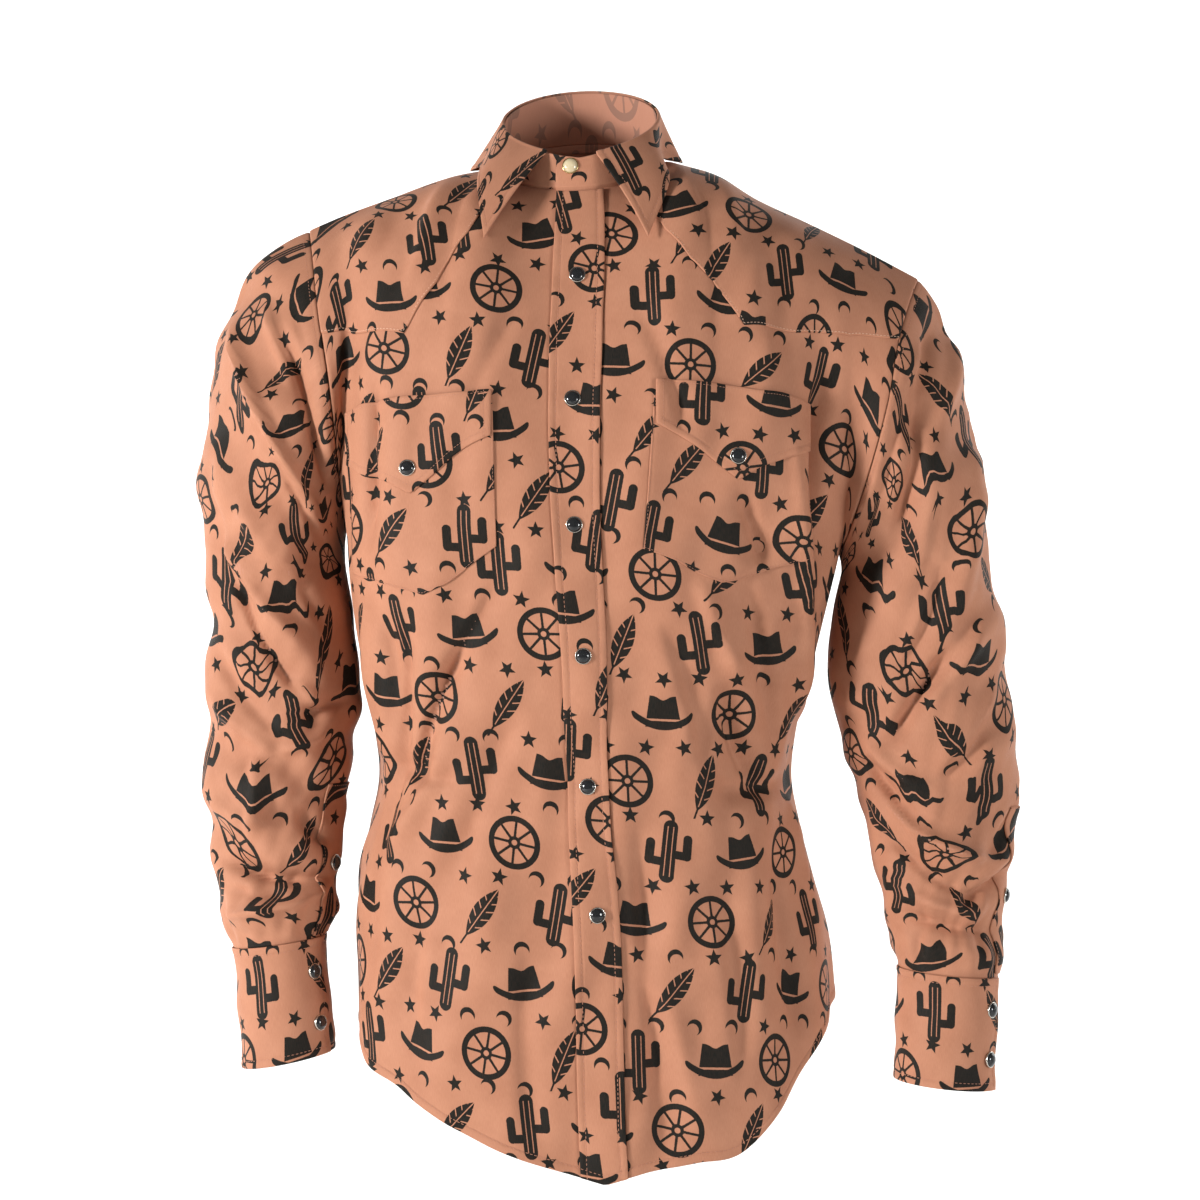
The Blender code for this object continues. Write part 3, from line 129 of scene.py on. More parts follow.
def along_table(rows: Table, share: Array) -> Array:
    """Place at a share (0 to 1) of the length of an x, y, z table."""
    points = np.stack([rows["x"], rows["y"], rows["z"]], axis=1)
    knots = run_along(points)
    knots /= knots[-1]
    return np.stack([smooth(knots, points[:, k], share) for k in range(3)], axis=-1)


def read_grid(values: Array, row: Array, column: Array) -> Array:
    """Linear reading of a grid between its rows and its columns."""
    row = np.clip(row, 0, values.shape[0] - 1.001)
    column = np.clip(column, 0, values.shape[1] - 1.001)
    r, c = row.astype(int), column.astype(int)
    extra = (...,) + (None,) * (values.ndim - 2)
    fr, fc = (row - r)[extra], (column - c)[extra]
    return (values[r, c] * (1 - fr) * (1 - fc) + values[r, c + 1] * (1 - fr) * fc
            + values[r + 1, c] * fr * (1 - fc) + values[r + 1, c + 1] * fr * fc)


def ease(low: float, high: float, value: Array) -> Array:
    """Smooth step from 0 at low to 1 at high."""
    f = np.clip((value - low) / (high - low), 0.0, 1.0)
    return f * f * (3 - 2 * f)


def bell(value: Array, width: float) -> Array:
    """Bell curve of height 1 about 0."""
    return np.exp(-(value / width) ** 2)


def unit(vectors: Array) -> Array:
    """Vectors scaled to length 1."""
    return vectors / np.maximum(np.linalg.norm(vectors, axis=-1, keepdims=True), 1e-9)


def normals_of(shape: Shape, u: Array, v: Array, step: float = 0.004) -> Array:
    """Unit normals: the cross product of a surface's slopes along u and along v."""
    across = shape(u + step, v) - shape(u - step, v)
    along = shape(u, v + step) - shape(u, v - step)
    return unit(np.cross(across, along))


def grid_normals(grid: Array, closed: bool = False) -> Array:
    """Unit normals of a point grid: the mean of the cells' normals about each point."""
    if closed:
        grid = np.concatenate([grid[:, -1:], grid, grid[:, :1]], axis=1)
    cell = unit(np.cross(grid[1:, 1:] - grid[:-1, :-1], grid[1:, :-1] - grid[:-1, 1:]))
    total = np.zeros(grid.shape)
    for rows in (slice(None, -1), slice(1, None)):
        for columns in (slice(None, -1), slice(1, None)):
            total[rows, columns] += cell
    return unit(total[:, 1:-1] if closed else total)


def spaced(count: int, length: float, close: tuple[float, ...] = (0.7, 1.6, 3.0),
           extra: tuple[float, ...] = ()) -> Array:
    """Even steps from 0 to 1, with extra lines near both ends.

    Args:
        count: number of even steps.
        length: length in millimetres that 0 to 1 stands for.
        close: distances from both ends, in millimetres, that get a line each.
        extra: further parameter values that get a line.

    Returns:
        Rising parameter values, none closer than a fifth of a millimetre.
    """
    near = np.array(close) / length
    fixed = np.concatenate([[0.0, 1.0], near, 1 - near, np.array(extra, float)])
    even = np.linspace(0.0, 1.0, count + 1)
    clear = np.abs(even[:, None] - fixed[None, :]).min(axis=1) > 0.3 / count
    values = np.sort(np.concatenate([even[clear], fixed]))
    return values[np.concatenate([[True], np.diff(values) > 0.2 / length])]


def lengths(points: Array, axis: int) -> Array:
    """Length run along one axis of a point grid, from its first row or column."""
    steps = np.linalg.norm(np.diff(points, axis=axis), axis=-1)
    start = np.zeros_like(np.take(steps, [0], axis=axis))
    return np.concatenate([start, np.cumsum(steps, axis=axis)], axis=axis)


def nearest(*distances: Array) -> Array:
    """Smallest of several distances at each point."""
    return np.minimum.reduce(distances)


def away_from(points: Array, line: Array) -> Array:
    """Distance from each point of a grid to a polyline in space."""
    a, run = line[:-1], np.diff(line, axis=0)
    flat = points.reshape(-1, 1, 3)
    along = np.sum((flat - a) * run, axis=-1) / np.maximum(np.sum(run * run, axis=-1), 1e-9)
    foot = a + np.clip(along, 0, 1)[..., None] * run
    return np.linalg.norm(flat - foot, axis=-1).min(axis=1).reshape(points.shape[:-1])


FOLD_COLUMNS = "x0 z0 xm zm x1 z1 width depth lean"
FOLD_STEPS = 9


def crease(x: Array, z: Array, folds: Table) -> Array:
    """Height that folds add: a bell across each fold's arc, faded at its two ends.

    Args:
        x: places across, as seen from the front.
        z: heights of those places.
        folds: start, middle and end of each fold, its width, its depth (positive for
            a ridge) and its lean, by which one flank is steeper than the other.

    Returns:
        The summed heights in millimetres.
    """
    total = np.zeros(np.shape(x))
    steps = np.linspace(0.0, 1.0, FOLD_STEPS + 1)
    for x0, z0, xm, zm, x1, z1, width, depth, lean in zip(*folds.values()):
        best = np.full(np.shape(x), 1e9)
        reached, flank = np.zeros(np.shape(x)), np.ones(np.shape(x))
        arc_x = x0 * (1 - steps) ** 2 + (4 * xm - x0 - x1) * (1 - steps) * steps + x1 * steps ** 2
        arc_z = z0 * (1 - steps) ** 2 + (4 * zm - z0 - z1) * (1 - steps) * steps + z1 * steps ** 2
        for k in range(FOLD_STEPS):
            run_x, run_z = arc_x[k + 1] - arc_x[k], arc_z[k + 1] - arc_z[k]
            place = ((x - arc_x[k]) * run_x + (z - arc_z[k]) * run_z) / (run_x ** 2 + run_z ** 2)
            place = np.clip(place, 0.0, 1.0)
            off_x, off_z = x - arc_x[k] - place * run_x, z - arc_z[k] - place * run_z
            away = np.hypot(off_x, off_z)
            nearer = away < best
            reached = np.where(nearer, (k + place) / FOLD_STEPS, reached)
            across = (run_x * off_z - run_z * off_x) / np.hypot(run_x, run_z)
            side = np.tanh(across / (0.3 * width))
            flank = np.where(nearer, 1 + 0.5 * lean * side, flank)
            best = np.minimum(away, best)
        fade = ease(-0.05, 0.3, reached) * (1 - ease(0.7, 1.05, reached))
        total = total + depth * np.exp(-(best / (width * flank)) ** 2) * fade
    return total


@dataclass(frozen=True)
class Creases:
    """How the shell sharpens its folds: cores for the narrow ones, and smaller folds."""

    depth: float
    swell: float = 1.15
    widest: float = 25.0
    core_width: float = 0.36
    core_depth: float = 0.5
    core_lean: float = 0.6
    fine_width: float = 0.8

    def at(self, x: Array, z: Array, folds: Table, fine: Table) -> Array:
        """Height of the folds: each main fold, its core when it is narrow, and the fine folds."""
        narrow = folds["width"] < self.widest
        core = folds | {"width": self.core_width * folds["width"],
                        "depth": self.core_depth * folds["depth"] * narrow,
                        "lean": folds["lean"] + self.core_lean}
        small = fine | {"width": self.fine_width * fine["width"]}
        return self.swell * crease(x, z, folds) + self.depth * (
            crease(x, z, core) + crease(x, z, small))


@dataclass(frozen=True)
class Ripple:
    """Slight unevenness of worn cloth: a sum of sine waves in fixed directions."""

    seed: int
    height: float
    shortest: float = 26.0
    longest: float = 95.0
    waves: int = 14
    upright: float = 0.45

    def at(self, x: Array, z: Array) -> Array:
        """Height of the waves at places x, z."""
        draw = np.random.default_rng(self.seed)
        length = draw.uniform(self.shortest, self.longest, self.waves)
        turn = draw.normal(0.0, self.upright, self.waves)
        phase = draw.uniform(0, 2 * np.pi, self.waves)
        push = length / self.longest * self.height / np.sqrt(self.waves)
        angle = (2 * np.pi / length) * (np.cos(turn) * x[..., None] + np.sin(turn) * z[..., None])
        return np.sum(push * np.sin(angle + phase), axis=-1)


# --- torso -------------------------------------------------------------------
def section_radius(phi: Array, squareness: float) -> Array:
    """Radius of the unit superellipse at an angle."""
    return (np.cos(phi) ** squareness + np.sin(phi) ** squareness) ** (-1 / squareness)


def even_section(squareness: float, half_width: float = 186.0,
                 half_depth: float = 124.0) -> tuple[Array, Array]:
    """Shares of a section quarter's length, and the angles they stand for."""
    phi = np.linspace(0.0, np.pi / 2, 181)
    radius = section_radius(phi, squareness)
    x, y = half_width * radius * np.sin(phi), half_depth * radius * np.cos(phi)
    length = np.concatenate([[0.0], np.cumsum(np.hypot(np.diff(x), np.diff(y)))])
    return length / length[-1], phi


def torso_levels() -> Table:
    """Side points, depths and centre-front line of the torso at each level."""
    return table("z right_x right_y left_x left_y front_y back_y centre_x", [
        (-790, -170, 12, 196, -12, -127, 118, 22), (-700, -171, 12, 197, -12, -126, 116, 17),
        (-620, -172, 12, 197, -12, -125, 112, 15), (-573, -172, 12, 192, -12, -124, 107, 14),
        (-534, -171, 12, 181, -12, -123, 102, 12), (-495, -164, 12, 171, -12, -122, 98, 9),
        (-456, -157, 12, 164, -12, -122, 97, 7), (-417, -161, 12, 168, -12, -124, 100, 5),
        (-378, -167, 12, 177, -12, -127, 106, 4), (-340, -172, 12, 187, -12, -129, 112, 2),
        (-290, -178, 12, 199, -12, -129, 119, -2),
        (-240, -183, 12, 206, -12, -127, 122, -5)])


def hem_levels() -> Table:
    """Hem height against the share of the half girth."""
    return table("share front_right front_left back", [
        (0.00, -752, -752, -772), (0.12, -743, -744, -769), (0.29, -727, -737, -757),
        (0.43, -709, -731, -736), (0.56, -688, -703, -706), (0.68, -672, -668, -676),
        (0.82, -655, -637, -651), (1.00, -643, -620, -640)])


def shoulder_seams() -> dict[str, Table]:
    """Shoulder seams from the neck out to the armhole."""
    return {
        "right": table("x y z", [
            (-62, 1.5, 15), (-99, 2, 9), (-147, 6, -7), (-190, 11, -22), (-212, 14, -31)]),
        "left": table("x y z", [
            (62, 1.5, 21), (107, -6, 8), (137, -9, -10), (175, -12, -28), (218, -14, -49),
            (262, -14, -72)])}


def armhole_seams() -> dict[tuple[str, str], Table]:
    """Armhole seams from the armpit up to the end of the shoulder seam."""
    return {
        ("front", "right"): table("x y z", [
            (-182, 12, -255), (-183, -26, -241), (-185, -56, -203), (-190, -67, -155),
            (-199, -54, -102), (-206, -24, -57), (-212, 14, -31)]),
        ("back", "right"): table("x y z", [
            (-182, 12, -255), (-183, 50, -242), (-186, 79, -204), (-192, 88, -152),
            (-202, 74, -98), (-208, 46, -54), (-212, 14, -31)]),
        ("front", "left"): table("x y z", [
            (200, -12, -285), (205, -50, -268), (219, -74, -222), (233, -80, -168),
            (243, -64, -120), (253, -40, -91), (262, -14, -72)]),
        ("back", "left"): table("x y z", [
            (200, -12, -285), (206, 30, -268), (220, 62, -222), (234, 70, -168),
            (246, 58, -120), (255, 28, -90), (262, -14, -72)])}


def body_folds() -> dict[str, Table]:
    """Main folds of the body, as seen from the front."""
    rows = {"front": [
        (183, -150, 181, -220, 178, -292, 13, -7, 0), (160, -190, 166, -310, 165, -445, 16, 4, 0),
        (118, -236, 131, -268, 141, -296, 14, -4, 0),
        (104, -380, 120, -428, 142, -472, 16, -5, 0), (45, -480, 52, -600, 66, -745, 24, -4, 0),
        (150, -500, 156, -580, 170, -650, 18, -4, 0),
        (-84, -352, -112, -407, -136, -478, 16, -5, 0),
        (-128, -318, -140, -415, -154, -520, 15, -5, 0),
        (-60, -500, -66, -600, -62, -720, 26, 4, 0),
        (-152, -150, -158, -215, -160, -285, 14, -5, 0)], "back": [
        (-120, -150, -112, -280, -90, -420, 22, 5, 0),
        (-76, -180, -64, -380, -52, -640, 24, -5, 0), (22, -200, 26, -420, 22, -700, 26, 4, 0),
        (104, -190, 92, -400, 78, -650, 24, -6, 0), (160, -160, 150, -290, 132, -430, 20, 5, 0),
        (-150, -520, -120, -600, -104, -700, 22, 4, 0)]}
    return {name: table(FOLD_COLUMNS, folds) for name, folds in rows.items()}


def fine_body_folds() -> dict[str, Table]:
    """Smaller folds of the body, which only the shell shows."""
    rows = {"front": [
        (40, -92, 66, -150, 78, -200, 9, -1.6, 0.5),
        (-40, -96, -66, -140, -84, -180, 9, -1.4, -0.5),
        (88, -300, 104, -345, 128, -392, 9, 2.0, 0.6),
        (126, -300, 140, -372, 148, -440, 8, -2.2, -0.6),
        (60, -330, 84, -392, 100, -470, 10, -1.8, 0.6),
        (-58, -300, -84, -350, -118, -392, 9, -2.0, 0.6),
        (-100, -420, -120, -470, -150, -508, 9, 2.0, 0.5),
        (-40, -400, -70, -460, -96, -540, 12, -1.8, -0.5),
        (36, -560, 70, -640, 90, -720, 12, 1.8, 0.5),
        (100, -520, 118, -600, 124, -690, 12, -2.0, 0.5),
        (-110, -540, -124, -600, -120, -670, 12, -2.0, -0.5),
        (-36, -560, -40, -650, -30, -735, 11, -1.6, 0.4),
        (168, -400, 166, -440, 160, -500, 9, -1.6, 0.5),
        (-150, -330, -146, -380, -150, -440, 8, -2.4, 0.5),
        (-160, -440, -120, -452, -86, -450, 9, -1.8, 0.5),
        (164, -452, 130, -462, 100, -456, 9, -1.8, 0.5)], "back": [
        (-30, -240, -24, -400, -30, -560, 12, 2.4, 0.5),
        (60, -230, 64, -380, 60, -540, 12, -2.4, -0.5),
        (-120, -430, -70, -452, -10, -452, 11, -2.4, 0.5),
        (150, -440, 110, -458, 60, -456, 11, -2.4, -0.5),
        (-130, -470, -80, -486, -20, -480, 10, 2.0, 0.5),
        (140, -480, 100, -494, 50, -484, 10, 2.0, 0.5),
        (-150, -210, -138, -300, -128, -380, 10, -2.6, 0.5),
        (176, -230, 166, -330, 150, -400, 10, -2.6, -0.5)]}
    return {name: table(FOLD_COLUMNS, folds) for name, folds in rows.items()}


@dataclass
class Torso:
    """The worn body of the shirt: a face of u (width share) and t (0 hem, 2 top)."""

    depth: float = 3.2
    neck_radius_x: float = 62.0
    neck_radius_y: float = 63.5
    neck_centre_y: float = 1.5
    neck_side_z: float = 18.0
    neck_tilt: float = 25.0
    neck_lean: float = 3.0
    neck_share: float = 0.37
    chest_fullness: float = 1.05
    shoulder_fullness: float = 1.10
    armhole_pull: float = 2.5
    side_share: float = 0.8
    armpit_z: float = -270.0
    armpit_tilt: float = 15.0
    back_centre_x: float = 24.0
    levels: Table = field(default_factory=torso_levels)
    hems: Table = field(default_factory=hem_levels)
    shoulders: dict[str, Table] = field(default_factory=shoulder_seams)
    armholes: dict[tuple[str, str], Table] = field(default_factory=armhole_seams)
    folds: dict[str, Table] = field(default_factory=body_folds)
    fine_folds: dict[str, Table] = field(default_factory=fine_body_folds)
    ripple: Ripple = Ripple(seed=11, height=3.0)
    half_girth: float = 250.0
    ripple_shift: float = 600.0

    def __post_init__(self) -> None:
        """Work out the even sections and the cloth's own coordinates once."""
        powers = {("front", "right"): 3.3, ("front", "left"): 2.4,
                  ("back", "right"): 2.4, ("back", "left"): 2.4}
        self.powers = powers
        self.sections = {quarter: even_section(power) for quarter, power in powers.items()}
        self.flats = {face: self.lay_flat(face) for face in Face}
        self.front_grid: Array | None = None

    def section(self, face: Face, side: str, share: Array) -> tuple[Array, Array, Array]:
        """Sine, cosine and radius of a section quarter at a share of its length."""
        phi = np.interp(share, *self.sections[face.value, side])
        return np.sin(phi), np.cos(phi), section_radius(phi, self.powers[face.value, side])

    def ring(self, face: Face, u: Array, z: Array) -> Array:
        """Level section: a superellipse quarter from the centre line to each side seam."""
        right, left = (self.section(face, side, np.abs(u)) for side in ("right", "left"))
        sine, cosine, radius = (np.where(u < 0, a, b) for a, b in zip(right, left))
        level = at_level(self.levels, z)
        side_x = np.where(u < 0, level["right_x"], level["left_x"])
        side_y = np.where(u < 0, level["right_y"], level["left_y"]) * sine ** 2
        front = face is Face.FRONT
        centre_x = level["centre_x"] if front else self.back_centre_x
        depth_y = level["front_y"] if front else level["back_y"]
        x = centre_x + (side_x - centre_x) * radius * sine
        y = side_y + (depth_y - side_y) * radius * cosine
        return np.stack([x, y, z + 0 * x], axis=-1)

    def hem_height(self, face: Face, u: Array) -> Array:
        """Height of the hem at a share of the half girth."""
        share, rows = np.abs(u), self.hems
        front = np.where(u < 0, smooth(rows["share"], rows["front_right"], share),
                         smooth(rows["share"], rows["front_left"], share))
        if face is Face.FRONT:
            return front
        side = np.where(u < 0, rows["front_right"][-1], rows["front_left"][-1])
        back = smooth(rows["share"], rows["back"], share)
        return back + (side - rows["back"][-1]) * ease(0.0, 1.0, share)

    def neckline(self, angle: Array) -> Array:
        """Neck seam: a tilted ellipse, at an angle from the front over the left side."""
        return np.stack([
            self.neck_radius_x * np.sin(angle),
            self.neck_centre_y - self.neck_radius_y * np.cos(angle),
            self.neck_side_z - self.neck_tilt * np.cos(angle) + self.neck_lean * np.sin(angle),
        ], axis=-1)

    def upper_edge(self, face: Face, u: Array) -> Array:
        """Neckline and then shoulder seam, against the width share."""
        share = np.abs(u)
        quarter = np.clip(share / self.neck_share, 0.0, 1.0) * np.pi / 2
        angle = np.where(u < 0, -1.0, 1.0) * (quarter if face is Face.FRONT else np.pi - quarter)
        out = np.clip((share - self.neck_share) / (1.0 - self.neck_share), 0.0, 1.0)
        seam = np.where(u[..., None] < 0, along_table(self.shoulders["right"], out),
                        along_table(self.shoulders["left"], out))
        return np.where((share < self.neck_share)[..., None], self.neckline(angle), seam)

    def armhole(self, face: Face, u: Array, share: Array) -> Array:
        """Armhole seam from the armpit (0) to the shoulder seam (1)."""
        return np.where(u[..., None] < 0, along_table(self.armholes[face.value, "right"], share),
                        along_table(self.armholes[face.value, "left"], share))

    def column_edge(self, face: Face, edge: Array, f: Array) -> Array:
        """The cubic column that lies beneath the armhole seam itself."""
        base = self.ring(face, edge, self.armpit_z - self.armpit_tilt * edge)
        top = self.upper_edge(face, edge)
        reach = np.linalg.norm(top - base, axis=-1, keepdims=True)
        lead = unit(self.armhole(face, edge, 0.04 + 0 * edge) - self.armhole(face, edge, 0 * edge))
        aim = np.stack([0 * edge, face.sign * -0.98 + 0 * edge, 0.03 + 0 * edge], axis=-1)
        return cubic(base, lead * reach * self.chest_fullness, top,
                     unit(aim) * reach * self.shoulder_fullness, f[..., None])

    def column(self, face: Face, u: Array, f: Array) -> Array:
        """Cubic column from the armpit level to the top edge, drawn toward the armhole."""
        armpit, share = self.armpit_z - self.armpit_tilt * u, np.abs(u)
        base = self.ring(face, u, armpit)
        slope = base - self.ring(face, u, armpit - 10.0)
        top = self.upper_edge(face, u)
        reach = np.linalg.norm(top - base, axis=-1, keepdims=True)
        over = ease(0.0, self.neck_share, share)
        past = 1 - ease(self.neck_share, self.neck_share + 0.25, share)
        aim = np.stack([-np.sign(u) * 0.45 * over * past, face.sign * (-0.38 - 0.60 * over),
                        0.93 - 0.90 * over], axis=-1)
        columns = cubic(base, unit(slope) * reach * self.chest_fullness, top,
                        unit(aim) * reach * self.shoulder_fullness, f[..., None])
        edge = np.where(u < 0, -1.0, 1.0)
        drawn = self.armhole(face, edge, f) - self.column_edge(face, edge, f)
        return columns + (share ** self.armhole_pull)[..., None] * drawn

    def chest(self, face: Face, u: Array, f: Array) -> Array:
        """Columns as far as side_share, then a cubic across to the armhole."""
        share, sign, rim = np.abs(u), np.where(u < 0, -1.0, 1.0), self.side_share
        inner = self.column(face, sign * np.minimum(share, rim), f)
        across = np.clip((share - rim) / (1 - rim), 0.0, 1.0)

        def side_piece(f: Array) -> Array:
            """Cubic from the last column to the armhole seam."""
            start, step = self.column(face, sign * rim, f), 0.02
            before = self.column(face, sign * rim * (1 - step), f)
            lead = (start - before) / (step * rim) * (1 - rim)
            end = self.armhole(face, sign, f)
            return cubic(start, lead, end, end - start, across[..., None])

        low = self.ring(face, u, self.armpit_z - self.armpit_tilt * u) - side_piece(0 * f)
        high = self.upper_edge(face, u) - side_piece(1 + 0 * f)
        f3 = f[..., None]
        outer = side_piece(f) + low * (1 - f3) ** 3 + high * f3 ** 3
        return np.where((share > rim)[..., None], outer, inner)

    def smooth_face(self, face: Face) -> Shape:
        """The face without folds, as a function of u and t."""
        def shape(u: Array, t: Array) -> Array:
            """Level rings below the armpits, and the chest above."""
            u, t = paired(u, t)
            armpit = self.armpit_z - self.armpit_tilt * u
            hem = self.hem_height(face, u)
            lower = self.ring(face, u, hem + (armpit - hem) * np.clip(t, 0.0, 1.0))
            upper = self.chest(face, u, np.clip(t - 1.0, 0.0, 1.0))
            return np.where((t < 1.0)[..., None], lower, upper)
        return shape

    def worn(self, face: Face, fine: bool = True) -> Shape:
        """The face with its folds: the smooth face moved along its normals."""
        base = self.smooth_face(face)

        def shape(u: Array, t: Array) -> Array:
            """Smooth face plus the folds' heights, which fade out at the seams."""
            u, t = paired(u, t)
            points = base(u, t)
            out = -face.sign * normals_of(base, np.clip(u, -0.98, 0.98), np.clip(t, 0.01, 1.98))
            height = crease(points[..., 0], points[..., 2], self.folds[face.value])
            keep = (1 - ease(0.86, 0.98, np.abs(u))) * (1 - ease(1.75, 1.98, t))
            if fine:
                height = Creases(self.depth).at(points[..., 0], points[..., 2],
                                                self.folds[face.value], self.fine_folds[face.value])
                girth = self.half_girth * u + self.ripple_shift * face.sign
                height = height + self.ripple.at(girth, points[..., 2])
            return points + out * (height * keep)[..., None]
        return shape

    def lay_flat(self, face: Face) -> tuple[Array, Array, Array, Array]:
        """Cloth coordinates of a face on a coarse grid of u and t.

        Across the cloth they are the row's length from the centre below the armpits,
        and above them the armpit row's length at the same x; up the cloth they are
        the column's length from the armpit row. Past three quarters of the width each
        row keeps its own length.
        """
        u = np.linspace(-1, 1, 81)
        t = np.concatenate([np.linspace(0, 1, 41)[:-1], np.linspace(1, 2, 41)])
        points = self.smooth_face(face)(u[None, :], t[:, None])
        across, along = lengths(points, 1), lengths(points, 0)
        across -= across[:, 40:41]
        along -= along[40:41]
        row_x, row_length = points[40, :, 0], across[40]
        by_x = np.interp(points[41:, :, 0], np.maximum.accumulate(row_x), row_length)
        for near, outer in ((10, slice(0, 10)), (70, slice(71, 81))):
            own = across[41:, outer] - across[41:, near:near + 1]
            by_x[:, outer] = by_x[:, near:near + 1] + own
        across[41:] = by_x
        return u, t, across, along

    def cloth(self, face: Face, u: Array, t: Array) -> Array:
        """Cloth coordinates in metres at u, t, read linearly from the coarse grid."""
        us, ts, across, along = self.flats[face]
        column, row = (u + 1) / 2 * (len(us) - 1), np.interp(t, ts, np.arange(len(ts)))
        return np.stack([read_grid(grid, row, column) for grid in (across, along)], axis=-1) * MM

    def chart(self, u: Array, t: Array) -> Array:
        """Front without its fine folds, read linearly from a grid that is worked out once."""
        if self.front_grid is None:
            us, ts = np.linspace(-1, 1, 161), np.linspace(0, 2, 241)
            self.front_grid = self.worn(Face.FRONT, fine=False)(us[None, :], ts[:, None])
        rows, columns = self.front_grid.shape[:2]
        return read_grid(self.front_grid, t / 2 * (rows - 1), (u + 1) / 2 * (columns - 1))

    def locate(self, x: Array, z: Array) -> tuple[Array, Array]:
        """Find the front's u and t for places seen from the front, by Newton's steps."""
        x, z = np.asarray(x, float), np.asarray(z, float)
        step = 0.012
        u_grid, t_grid = np.meshgrid(np.linspace(-0.95, 0.95, 39), np.linspace(0.02, 1.9, 60))
        spread = self.chart(u_grid, t_grid)
        apart = np.hypot(spread[..., 0].ravel() - x.ravel()[:, None],
                         spread[..., 2].ravel() - z.ravel()[:, None])
        nearest = np.argmin(apart, axis=1)
        u, t = (g.ravel()[nearest].reshape(x.shape) for g in (u_grid, t_grid))
        for _ in range(12):
            here = self.chart(u, t)
            by_u = (self.chart(u + step, t) - self.chart(u - step, t)) / (2 * step)
            by_t = (self.chart(u, t + step) - self.chart(u, t - step)) / (2 * step)
            miss_x, miss_z = x - here[..., 0], z - here[..., 2]
            area = by_u[..., 0] * by_t[..., 2] - by_u[..., 2] * by_t[..., 0]
            u = u + 0.8 * (miss_x * by_t[..., 2] - miss_z * by_t[..., 0]) / area
            t = t + 0.8 * (miss_z * by_u[..., 0] - miss_x * by_u[..., 2]) / area
            u, t = np.clip(u, -0.985, 0.985), np.clip(t, 0.013, 1.985)
        return u, t

    def neck_limit(self, face: Face, u: Array, setback: float = 3.6) -> Array:
        """Highest t on each column that keeps a yoke clear of the collar stand."""
        t = np.linspace(1.8, 1.9993, 240)
        points = self.smooth_face(face)(u[None, :], t[:, None])
        ring = np.hypot(points[..., 0] / self.neck_radius_x,
                        (points[..., 1] - self.neck_centre_y) / self.neck_radius_y)
        clear = ring > 1 + setback / self.neck_radius_x
        last = len(t) - 1 - np.argmax(clear[::-1], axis=0)
        return t[last]


# --- arm ---------------------------------------------------------------------
def arm_levels(side: Side) -> Table:
    """Outer and inner edge and front and back depth of an arm at each level."""
    rows = {
        Side.RIGHT: [
            (-700, -257, -187, -68, 10), (-640, -261, -191, -66, 12),
            (-590, -265, -196, -66, 14), (-560, -273, -192, -66, 20),
            (-520, -282, -186, -62, 28), (-476, -291, -182, -55, 40),
            (-430, -291, -175, -50, 52), (-378, -291, -172, -50, 62),
            (-340, -290, -177, -50, 68), (-290, -292, -184, -52, 74)],
        Side.LEFT: [
            (-700, 317, 241, -86, -8), (-650, 318, 243, -84, -6),
            (-603, 320, 244, -84, -4), (-570, 320, 237, -84, 0),
            (-530, 327, 228, -82, 8), (-476, 338, 215, -78, 20),
            (-430, 337, 203, -74, 32), (-378, 332, 192, -72, 42),
            (-339, 327, 195, -72, 48), (-290, 320, 205, -72, 54)]}
    return table("z outer_x inner_x front_y back_y", rows[side])


def cuff_seams(side: Side) -> dict[str, tuple[float, float]]:
    """Height of the cuff's upper and lower edge, outside and inside the arm."""
    return {Side.RIGHT: {"top": (-587.0, -577.0), "bottom": (-679.0, -665.0)},
            Side.LEFT: {"top": (-607.0, -600.0), "bottom": (-692.0, -685.0)}}[side]


def sleeve_folds(side: Side) -> dict[str, Table]:
    """Main folds of a sleeve, as seen from the front."""
    rows = {(Side.RIGHT, "front"): [
        (-235, -95, -206, -180, -190, -238, 13, -6, 0),
        (-268, -106, -236, -190, -186, -286, 11, 6, 0),
        (-279, -285, -242, -352, -206, -394, 15, -7, 0),
        (-262, -316, -226, -370, -188, -414, 13, 4, 0),
        (-214, -410, -196, -404, -174, -396, 9, -5, 0),
        (-284, -514, -236, -530, -188, -532, 11, -6, 0),
        (-270, -560, -228, -553, -192, -538, 10, 5, 0),
        (-250, -430, -246, -470, -252, -505, 16, 4, 0),
        (-320, -224, -294, -236, -262, -250, 27, 6, 0)], (Side.RIGHT, "back"): [
        (-262, -110, -238, -190, -200, -270, 16, -5, 0),
        (-288, -330, -246, -372, -196, -398, 14, -6, 0),
        (-284, -420, -240, -420, -190, -430, 13, 5, 0),
        (-282, -520, -240, -536, -196, -540, 12, -5, 0),
        (-320, -224, -294, -236, -262, -250, 27, 6, 0)], (Side.LEFT, "front"): [
        (286, -350, 256, -392, 226, -436, 15, -6, 0), (212, -440, 232, -466, 266, -502, 12, -6, 0),
        (226, -464, 272, -505, 322, -517, 11, 6, 0), (328, -522, 308, -538, 286, -548, 10, -5, 0),
        (240, -556, 276, -566, 318, -572, 11, -5, 0), (262, -140, 256, -210, 228, -290, 16, -5, 0),
        (300, -180, 296, -260, 280, -330, 18, 4, 0)], (Side.LEFT, "back"): [
        (300, -130, 280, -210, 240, -290, 16, -5, 0), (326, -360, 286, -404, 222, -430, 14, -6, 0),
        (322, -460, 280, -462, 226, -470, 13, 5, 0),
        (322, -540, 282, -556, 246, -562, 12, -5, 0)]}
    return {name: table(FOLD_COLUMNS, rows[side, name]) for name in ("front", "back")}


